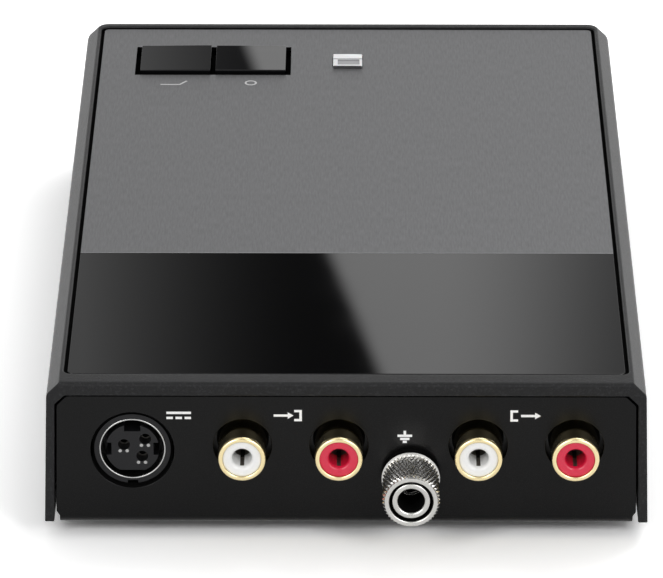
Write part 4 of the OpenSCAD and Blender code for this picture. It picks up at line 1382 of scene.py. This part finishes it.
@dataclass
class PhonoJack:
    """Gilt shell and coloured insulator of one phono jack."""

    side: str
    outer: float = 4.15 * MM
    flange_t: float = 0.5 * MM
    lip: float = 0.95 * MM
    inner_lip: float = 0.42 * MM
    mouth: float = 3.27 * MM
    bore: float = 3.45 * MM
    sleeve: float = 2.07 * MM
    seat_gap: float = 0.03 * MM
    tab_half: float = 1.0 * MM
    face_round: float = 0.35 * MM
    funnel: float = 0.35 * MM
    funnel_depth: float = 0.5 * MM
    throat_round: float = 0.3 * MM
    shade_start: float = 0.05 * MM
    pin: float = 1.65 * MM
    slot_half: float = 0.35 * MM
    slot_depth: float = 0.45 * MM
    slot_start: float = 0.2 * MM
    slot_inset: float = 0.8 * MM

    def build(self) -> list[Piece]:
        """Build the jack's shell and insulator."""
        return [self._shell(), self._insulator()]

    def _axis(self) -> tuple[float, float, float]:
        """Place and height of the axis, and the insulator's radius."""
        low, high = node_box(f"{self.side}_insulator")
        return (low.x + high.x) / 2, (low.z + high.z) / 2, (high.x - low.x) / 2

    def _shell(self) -> Piece:
        """Make the shell, with a rounded lip and a tab to the board; its flange behind the panel
        gets painted black shade.

        Returns:
            The shell.
        """
        node = f"{self.side}_shell"
        low, high = node_box(node)
        x, z, _ = self._axis()
        flange = (high.x - low.x) / 2
        root = low.y + self.flange_t
        seat = node_box(f"{self.side}_insulator")[1].y + self.seat_gap
        form = turned(eased([
            (flange, low.y, 0), (flange, root, 0), (self.outer, root, 0),
            (self.outer, high.y, self.lip), (self.mouth, high.y, self.inner_lip),
            (self.mouth, seat, 0), (self.bore, seat, 0), (self.bore, low.y, 0)], steps=6), x, z)
        add_box(form, (x - self.tab_half, low.y, low.z), (x + self.tab_half, root, z - self.bore))
        piece = finished(piece_name(node), form, FINISHES["gold_plate"])
        # The flange and the tab's root, behind the flange's front, get painted black shade in
        # place of gold.
        paint_faces(piece, lambda middle, _facing: middle.y < root + SAME)
        return settle(piece, node)

    def _insulator(self) -> Piece:
        """Make the insulator, with a funnel round its hole and a slot in its bore; the slot's
        faces and the wide bore behind the step get painted shade.

        Returns:
            The insulator.
        """
        node = f"{self.side}_insulator"
        low, high = node_box(node)
        x, z, radius = self._axis()
        step = node_box("jack_contacts")[1].y
        form = turned(eased([
            (radius, low.y, 0), (radius, high.y, self.face_round),
            (self.pin + self.funnel, high.y, self.face_round),
            (self.pin, high.y - self.funnel_depth, self.throat_round),
            (self.pin, step, 0), (self.sleeve, step, 0), (self.sleeve, low.y, 0)], steps=5), x, z)
        piece = finished(piece_name(node), form, FINISHES[SLOT_OF[node]], weigh=False)
        cutter = bmesh.new()
        slot_foot = z - self.pin - self.slot_depth
        add_box(cutter, (x - self.slot_half, step - self.slot_start, slot_foot),
                (x + self.slot_half, high.y - self.slot_inset, z - self.pin / 2))
        carve(piece, cutter, SLOT_PAINTED_SHADE)

        def is_shaded_bore(middle: Vector, _facing: Vector) -> bool:
            """Whether a face lies in the wide part of the bore, behind the step, where it gets
            painted shade.
            """
            reach = math.hypot(middle.x - x, middle.z - z)
            return middle.y < step - self.shade_start and reach < self.sleeve + WIDE_SLACK

        paint_faces(piece, is_shaded_bore, WARM_PAINTED_SHADE)
        return settle(piece, node)


@dataclass
class Sockets:
    """The four phono jacks with their blocks and contacts."""

    block_edge: float = 0.15 * MM
    contact_edge: float = 0.05 * MM

    def build(self) -> list[Piece]:
        """Build every jack and what holds it.

        Returns:
            The blocks, the contacts, the shells and the insulators.
        """
        pieces = [softened(f"{pair}_jack_block", self.block_edge) for pair in ("input", "output")]
        pieces.append(redress(softened("jack_contacts", self.contact_edge), JACK_CONTACT_SHADE))
        for side in JACK_SIDES:
            pieces.extend(PhonoJack(side).build())
        return pieces


@dataclass
class GroundTerminal:
    """Hollow post, washer, knurled thumb nut, lock nut and solder tag."""

    teeth: int = 44
    knurl_pitch: float = 1.9 * MM
    knurl_depth: float = 0.36 * MM
    knurl_inset: float = 0.06 * MM
    knurl_start: float = 0.2 * MM
    samples: int = 8
    rear_rim: float = 0.10 * MM
    rim_bevel: float = 0.14 * MM
    face_bevel: tuple[float, float] = (0.50 * MM, 0.34 * MM)
    recess_radius: float = 3.75 * MM
    recess_depth: float = 2.5 * MM
    recess_lit: float = 0.86
    post_radius: float = 3.3 * MM
    thread_radius: float = 3.35 * MM
    bore: float = 2.2 * MM
    bore_depth: float = 14.0 * MM
    mouth_round: float = 0.70 * MM
    inner_bore: float = 1.80 * MM
    bore_step: float = 7.0 * MM
    lit_mouth: float = 0.5 * MM
    lit_rim: float = 0.2 * MM
    shaded_from: float = 0.8 * MM
    end_round: float = 0.3 * MM
    flange_round: float = 0.1 * MM
    face_round: float = 0.35 * MM
    step_round: float = 0.03 * MM
    rim_round: float = 0.08 * MM
    recess_round: float = 0.30 * MM
    floor_round: float = 0.2 * MM
    thread_round: float = 0.1 * MM
    rear_round: float = 0.05 * MM
    washer_edge: float = 0.12 * MM
    nut_edge: float = 0.10 * MM
    tag_edge: float = 0.05 * MM

    def build(self) -> list[Piece]:
        """Build the terminal's pieces.

        Returns:
            The post, the washer, the thumb nut, the lock nut and the solder tag.
        """
        return [
            self._post(),
            redress(softened("ground_washer", self.washer_edge), DULL_NICKEL),
            self._thumb_nut(),
            softened("ground_lock_nut", self.nut_edge),
            softened("ground_tag", self.tag_edge),
        ]

    @staticmethod
    def _axis() -> tuple[float, float]:
        """Place and height of the terminal's axis."""
        low, high = node_box("ground_washer")
        return (low.x + high.x) / 2, (low.z + high.z) / 2

    def _post(self) -> Piece:
        """Make the post, with a flange, a rounded mouth and a step far inside its bore; the bore
        and the part sunk in the nut get painted black shade.

        Returns:
            The post.
        """
        low, high = node_box("ground_post")
        x, z = self._axis()
        flange = (high.x - low.x) / 2
        flange_start, flange_end = node_box("chassis")[1].y, node_box("ground_washer")[0].y
        floor = high.y - self.bore_depth
        step = high.y - self.bore_step
        radius = self.post_radius
        profile = eased([
            (0.0, low.y, 0), (radius, low.y, self.end_round), (radius, flange_start, 0),
            (flange, flange_start, self.flange_round), (flange, flange_end, self.flange_round),
            (radius, flange_end, 0), (radius, high.y, self.face_round),
            (self.bore, high.y, self.mouth_round), (self.bore, step, self.step_round),
            (self.inner_bore, step, self.step_round), (self.inner_bore, floor, 0),
            (0.0, floor, 0)], steps=5, closed=False)
        piece = finished("GroundPost", turned(profile, x, z, closed=False), SATIN_NICKEL)
        shaded = node_box("ground_thumb_nut")[1].y - self.shaded_from

        def is_painted_dark(middle: Vector, facing: Vector) -> bool:
            """Whether a face lies deep in the bore or down in the nut's recess, where it gets
            painted black shade.

            Args:
                middle: The face's middle.
                facing: The face's direction.

            Returns:
                True for such a face.
            """
            reach = math.hypot(middle.x - x, middle.z - z)
            inside = reach < self.bore + SLACK and middle.y < high.y - self.lit_mouth
            ledge = abs(facing.y) > HALF_TURNED and middle.y > step - WIDE_SLACK
            sunk = reach > radius - SLACK and middle.y < shaded
            return (inside and not ledge) or sunk

        paint_faces(piece, is_painted_dark)
        return settle(piece, "ground_post")

    def _thumb_nut(self) -> Piece:
        """Make the nut, with a diamond knurl, rounded ends and a recess in its outer face; the
        knurl gets painted light, and the recess below its lit upper part gets painted shade.

        Returns:
            The nut.
        """
        low, high = node_box("ground_thumb_nut")
        x, z = self._axis()
        radius = (high.x - low.x) / 2
        start, end = low.y + self.rear_rim + self.rim_bevel, high.y - self.face_bevel[1]
        recess_floor = high.y - self.recess_depth
        rows = int((end - start) / (self.knurl_pitch / self.samples))
        knurled = [(radius - self.knurl_inset, start + (end - start) * i / rows, 1.0)
                   for i in range(rows + 1)]
        plain = eased([
            (radius - self.face_bevel[0], high.y, self.rim_round),
            (self.recess_radius, high.y, self.recess_round),
            (self.recess_radius, recess_floor, self.floor_round),
            (self.thread_radius, recess_floor, self.thread_round),
            (self.thread_radius, low.y, self.thread_round),
            (radius - self.rear_round, low.y, self.rear_round),
            (radius, low.y + self.rear_round, self.rear_round),
            (radius, low.y + self.rear_rim, self.rim_round)], steps=5, closed=False)
        steps = self.teeth * self.samples
        form = bmesh.new()
        rings = []
        for ring_radius, y, weight in knurled + [(r, y, 0.0) for r, y in plain]:
            ring = []
            for i in range(steps):
                risen = min(1.0, (y - start) / self.knurl_start) * self._tooth(i, y)
                depth = weight * self.knurl_depth * (1.0 - risen)
                angle = math.tau * i / steps
                ring.append(form.verts.new((x + (ring_radius - depth) * math.cos(angle), y,
                                            z + (ring_radius - depth) * math.sin(angle))))
            rings.append(ring)
        ring_faces(form, rings, True)
        bmesh.ops.recalc_face_normals(form, faces=form.faces)
        piece = finished("GroundThumbNut", form, SATIN_NICKEL, weigh=False)
        # The knurl gets the brighter nickel, painted light.
        paint_faces(piece, lambda middle, _facing: start < middle.y < end, LIT_KNURL_NICKEL)

        def is_shaded_recess(middle: Vector, _facing: Vector) -> bool:
            """Whether a face lies in the recess, below its lit upper part; these faces get painted
            black shade.
            """
            reach, above = math.hypot(middle.x - x, middle.z - z), middle.z - z
            return (reach < self.recess_radius + SLACK and middle.y < high.y - self.lit_rim
                    and above < self.recess_lit * self.recess_radius)

        paint_faces(piece, is_shaded_recess)
        return settle(piece, "ground_thumb_nut")

    def _tooth(self, index: int, y: float) -> float:
        """Height of the knurl's diamonds.

        Args:
            index: Number of the point round the nut.
            y: Its place along the axis.

        Returns:
            The height, from 0 in a groove to 1 on a point.
        """
        around, along = index / self.samples, y / self.knurl_pitch
        first, second = (around + along) % 1.0, (around - along) % 1.0
        return min(1 - abs(2 * first - 1), 1 - abs(2 * second - 1))


@dataclass
class DipBanks:
    """The two banks of small switches under the board."""

    edge: float = 0.08 * MM

    def build(self) -> list[Piece]:
        """Build cases and sliders.

        Returns:
            The cases and the sliders.
        """
        pieces = []
        for side in ("left", "right"):
            pieces.append(softened(f"{side}_dip_case", self.edge))
            pieces.extend(softened(f"{side}_slider_{i}", self.edge) for i in range(1, 5))
        return pieces


@dataclass
class Board:
    """Circuit board and the parts on it."""

    edges: dict[str, float] = field(default_factory=lambda: {
        "circuit_board": 0.10 * MM, "board_standoffs": 0.15 * MM, "board_screws": 0.08 * MM,
        "film_capacitors": 0.35 * MM, "op_amps": 0.10 * MM, "regulators": 0.10 * MM,
        "relays": 0.30 * MM, "coupling_capacitors": 0.12 * MM, "reservoir_capacitors": 0.12 * MM,
        "resistors": 0.06 * MM, "rectifier_diodes": 0.06 * MM})

    def build(self) -> list[Piece]:
        """Build each group of parts with its edges softened."""
        return [softened(node, edge) for node, edge in self.edges.items()]


def dress_kept_nodes() -> Iterable[str]:
    """Give each node that keeps its own solid the material of its slot.

    Returns:
        The names of those nodes.
    """
    for name, node in sorted(frame["nodes"].items()):
        if node.hide_render:
            continue
        material = FINISHES[SLOT_OF[name]].material()
        for place in node.material_slots:
            place.material = material
        yield name


# ---------- studio ----------


@dataclass
class Studio:
    """Pale floor, soft light and the camera."""

    focal: float = 299.93
    sensor: float = 36.0
    camera_place: Place = (-0.0011, 0.923975, 0.438)
    camera_aim: Place = (0.00269, 0.03946, 0.030)
    camera_reach: float = 50.0
    floor_half: float = 4.0
    floor_cells: int = 8
    floor_colour: float = 0.80
    floor_seen: float = 1.48
    diffuse_level: float = 0.64
    least_away: float = 0.001
    facing_away: float = 0.01
    horizon_rise: Band = (0.14, 0.42)
    horizon_level: float = 1.25
    overhead_rise: Band = (0.78, 0.92)
    upper_level: float = 0.45
    zenith_level: float = 1.6
    front_turn: Band = (0.15, 0.45)
    front_rise: Band = (0.10, 0.25)
    front_low: Band = (-0.2, 0.0)
    front_high: Band = (0.62, 0.80)
    front_level: float = 4.5
    front_gap: Band = (0.10, 0.30)
    gap_level: float = 0.30
    window_side: Band = (0.06, 0.10)
    window_rise: Band = (0.28, 0.36)
    dark_width: float = 0.0553
    dark_curve: float = 2.7
    dark_level: float = 0.475
    dark_base: float = 0.012
    card_side: Band = (-0.060, -0.0155)
    card_levels: Band = (0.30, 1.2)
    card_tilt: float = 0.3643
    card_edge: float = 0.16929
    card_blur: float = 0.002

    def build(self) -> None:
        """Build the whole studio."""
        self._camera()
        self._floor()
        self._world()
        self._lamps()
        bpy.context.scene.view_settings.view_transform = "Standard"

    def _camera(self) -> None:
        """Long lens that looks down on the rear panel and the top."""
        data = bpy.data.cameras.new("Camera")
        data.lens = self.focal
        data.sensor_width = self.sensor
        data.clip_end = self.camera_reach
        camera = bpy.data.objects.new("Camera", data)
        camera.location = self.camera_place
        look = Vector(self.camera_aim) - Vector(self.camera_place)
        camera.rotation_euler = look.to_track_quat("-Z", "Y").to_euler()
        bpy.context.scene.collection.objects.link(camera)
        bpy.context.scene.camera = camera

    def _floor(self) -> None:
        """Pale floor that shows white where no shadow falls."""
        form = bmesh.new()
        bmesh.ops.create_grid(form, x_segments=self.floor_cells, y_segments=self.floor_cells,
                              size=self.floor_half)
        mesh = bpy.data.meshes.new("Floor")
        form.to_mesh(mesh)
        form.free()
        material = bpy.data.materials.new("pale floor")
        material.use_nodes = True
        tree = material.node_tree
        tree.nodes.remove(tree.nodes["Principled BSDF"])
        matt = tree.nodes.new("ShaderNodeBsdfDiffuse")
        tree.links.new(matt.outputs[0], tree.nodes["Material Output"].inputs["Surface"])
        rays = tree.nodes.new("ShaderNodeLightPath").outputs
        mirrored = maths(tree, "MAXIMUM", rays["Is Glossy Ray"], rays["Is Transmission Ray"])
        seen = maths(tree, "MAXIMUM", rays["Is Camera Ray"], mirrored)
        gain = maths(tree, "MULTIPLY", seen, self.floor_seen - self.floor_colour)
        tree.links.new(maths(tree, "ADD", gain, self.floor_colour), matt.inputs["Color"])
        mesh.materials.append(material)
        floor = bpy.data.objects.new("Floor", mesh)
        bpy.context.scene.collection.objects.link(floor)

    def _world(self) -> None:
        """White surroundings; polished faces see a studio with a tilted card behind the preamp."""
        world = bpy.data.worlds.new("Studio")
        world.use_nodes = True
        bpy.context.scene.world = world
        tree = world.node_tree
        background = tree.nodes["Background"]
        rays = tree.nodes.new("ShaderNodeLightPath").outputs
        glossy_ray = rays["Is Glossy Ray"]
        white = maths(tree, "MAXIMUM", rays["Is Camera Ray"], rays["Is Transmission Ray"])
        glossy = maths(tree, "MULTIPLY", glossy_ray, self._studio_level(tree))
        dull_ray = maths(tree, "SUBTRACT", 1.0, maths(tree, "MAXIMUM", white, glossy_ray))
        dull = maths(tree, "MULTIPLY", dull_ray, self.diffuse_level)
        level = maths(tree, "ADD", maths(tree, "ADD", white, glossy), dull)
        background.inputs["Color"].default_value = (1.0, 1.0, 1.0, 1.0)
        tree.links.new(level, background.inputs["Strength"])

    def _studio_level(self, tree: Tree) -> Socket:
        """Brightness of the studio in each direction, as gloss shows it.

        Args:
            tree: The world's tree.

        Returns:
            The socket with the brightness.
        """
        place = tree.nodes.new("ShaderNodeTexCoord")
        parts = tree.nodes.new("ShaderNodeSeparateXYZ")
        tree.links.new(place.outputs["Generated"], parts.inputs[0])
        x, y, z = parts.outputs
        away = maths(tree, "MAXIMUM", maths(tree, "MULTIPLY", y, -1.0), self.least_away)
        across, rise = maths(tree, "DIVIDE", x, away), maths(tree, "DIVIDE", z, away)
        beside = maths(tree, "ABSOLUTE", across, 0.0)
        near_side = ramp(tree, beside, self.window_side, (1.0, 0.0))
        high_enough = ramp(tree, rise, self.window_rise, (0.0, 1.0))
        facing = maths(tree, "GREATER_THAN", away, self.facing_away)
        window = maths(tree, "MULTIPLY", maths(tree, "MULTIPLY", near_side, high_enough), facing)
        room, card = self._room_level(tree, x, y, z), self._window_level(tree, across, rise)
        return mix(tree, window, room, card)

    def _room_level(self, tree: Tree, x: Socket, y: Socket, z: Socket) -> Socket:
        """Brightness of the room: its walls, what hangs overhead and the front side's light.

        Args:
            tree: The world's tree.
            x: Socket with the direction's part along X.
            y: Socket with its part along Y.
            z: Socket with its part upwards.

        Returns:
            The socket with the brightness.
        """
        overhead = ramp(tree, z, self.overhead_rise, (self.upper_level, self.zenith_level))
        walls = number(tree, self.horizon_level)
        far = mix(tree, ramp(tree, z, self.horizon_rise, (0.0, 1.0)), walls, overhead)
        low = ramp(tree, z, self.front_low, (1.0, self.horizon_level))
        high = ramp(tree, z, self.front_high, (self.front_level, self.zenith_level))
        near = mix(tree, ramp(tree, z, self.front_rise, (0.0, 1.0)), low, high)
        gap = ramp(tree, maths(tree, "ABSOLUTE", x, 0.0), self.front_gap, (self.gap_level, 1.0))
        near = maths(tree, "MULTIPLY", near, gap)
        return mix(tree, ramp(tree, y, self.front_turn, (0.0, 1.0)), far, near)

    def _window_level(self, tree: Tree, across: Socket, rise: Socket) -> Socket:
        """Brightness of what the polished plate mirrors: a tilted card and a dark side by it.

        Args:
            tree: The world's tree.
            across: Socket with the direction's slope across.
            rise: Socket with its slope upwards.

        Returns:
            The socket with the brightness.
        """
        share = maths(tree, "MAXIMUM", maths(tree, "DIVIDE", across, self.dark_width), 0.0)
        dark = maths(tree, "POWER", share, self.dark_curve)
        dark = maths(tree, "MULTIPLY", dark, self.dark_level)
        dark = maths(tree, "ADD", maths(tree, "MINIMUM", dark, self.upper_level), self.dark_base)
        card = ramp(tree, across, self.card_side, self.card_levels)
        lean = maths(tree, "MULTIPLY", rise, self.card_tilt)
        lean = maths(tree, "SUBTRACT", lean, self.card_edge)
        blur = (-self.card_blur, self.card_blur)
        edge = ramp(tree, maths(tree, "ADD", across, lean), blur, (0.0, 1.0))
        return mix(tree, edge, card, dark)

    def _lamps(self) -> None:
        """Soft key from behind on the right, and two smaller lamps in front of the rear panel."""
        self._lamp("KeyLamp", place=(-0.50, -0.85, 1.5), size=0.9, power=8.0)
        self._lamp("LeftLamp", place=(0.55, 0.80, 0.60), size=0.26, power=1.9)
        self._lamp("RightLamp", place=(-0.55, 0.80, 0.60), size=0.26, power=1.9)

    @staticmethod
    def _lamp(name: str, place: Place, size: float, power: float) -> None:
        """Square lamp that points at the preamp.

        Args:
            name: Name of the lamp.
            place: Where it stands.
            size: Length of its side.
            power: Its power in watts.
        """
        data = bpy.data.lights.new(name, "AREA")
        data.size = size
        data.energy = power
        lamp = bpy.data.objects.new(name, data)
        lamp.location = place
        lamp.rotation_euler = (-Vector(place)).to_track_quat("-Z", "Y").to_euler()
        bpy.context.scene.collection.objects.link(lamp)


# ---------- the whole preamp ----------


def main() -> None:
    """Build the studio and dress every piece."""
    logging.basicConfig(level=logging.INFO, format="%(name)s: %(message)s")
    Studio().build()
    assemblies = (Enclosure(), TopPlates(), PushButtons(), Indicator(), PowerInlet(), Sockets(),
                  GroundTerminal(), DipBanks(), Board(), PrintedMarks())
    for assembly in assemblies:
        for piece in assembly.build():
            log.info("%s: %s, %d faces", type(assembly).__name__, piece.name,
                     len(piece.data.polygons))
    for name in dress_kept_nodes():
        log.info("kept solid: %s", name)


if __name__ == "__main__":
    main()
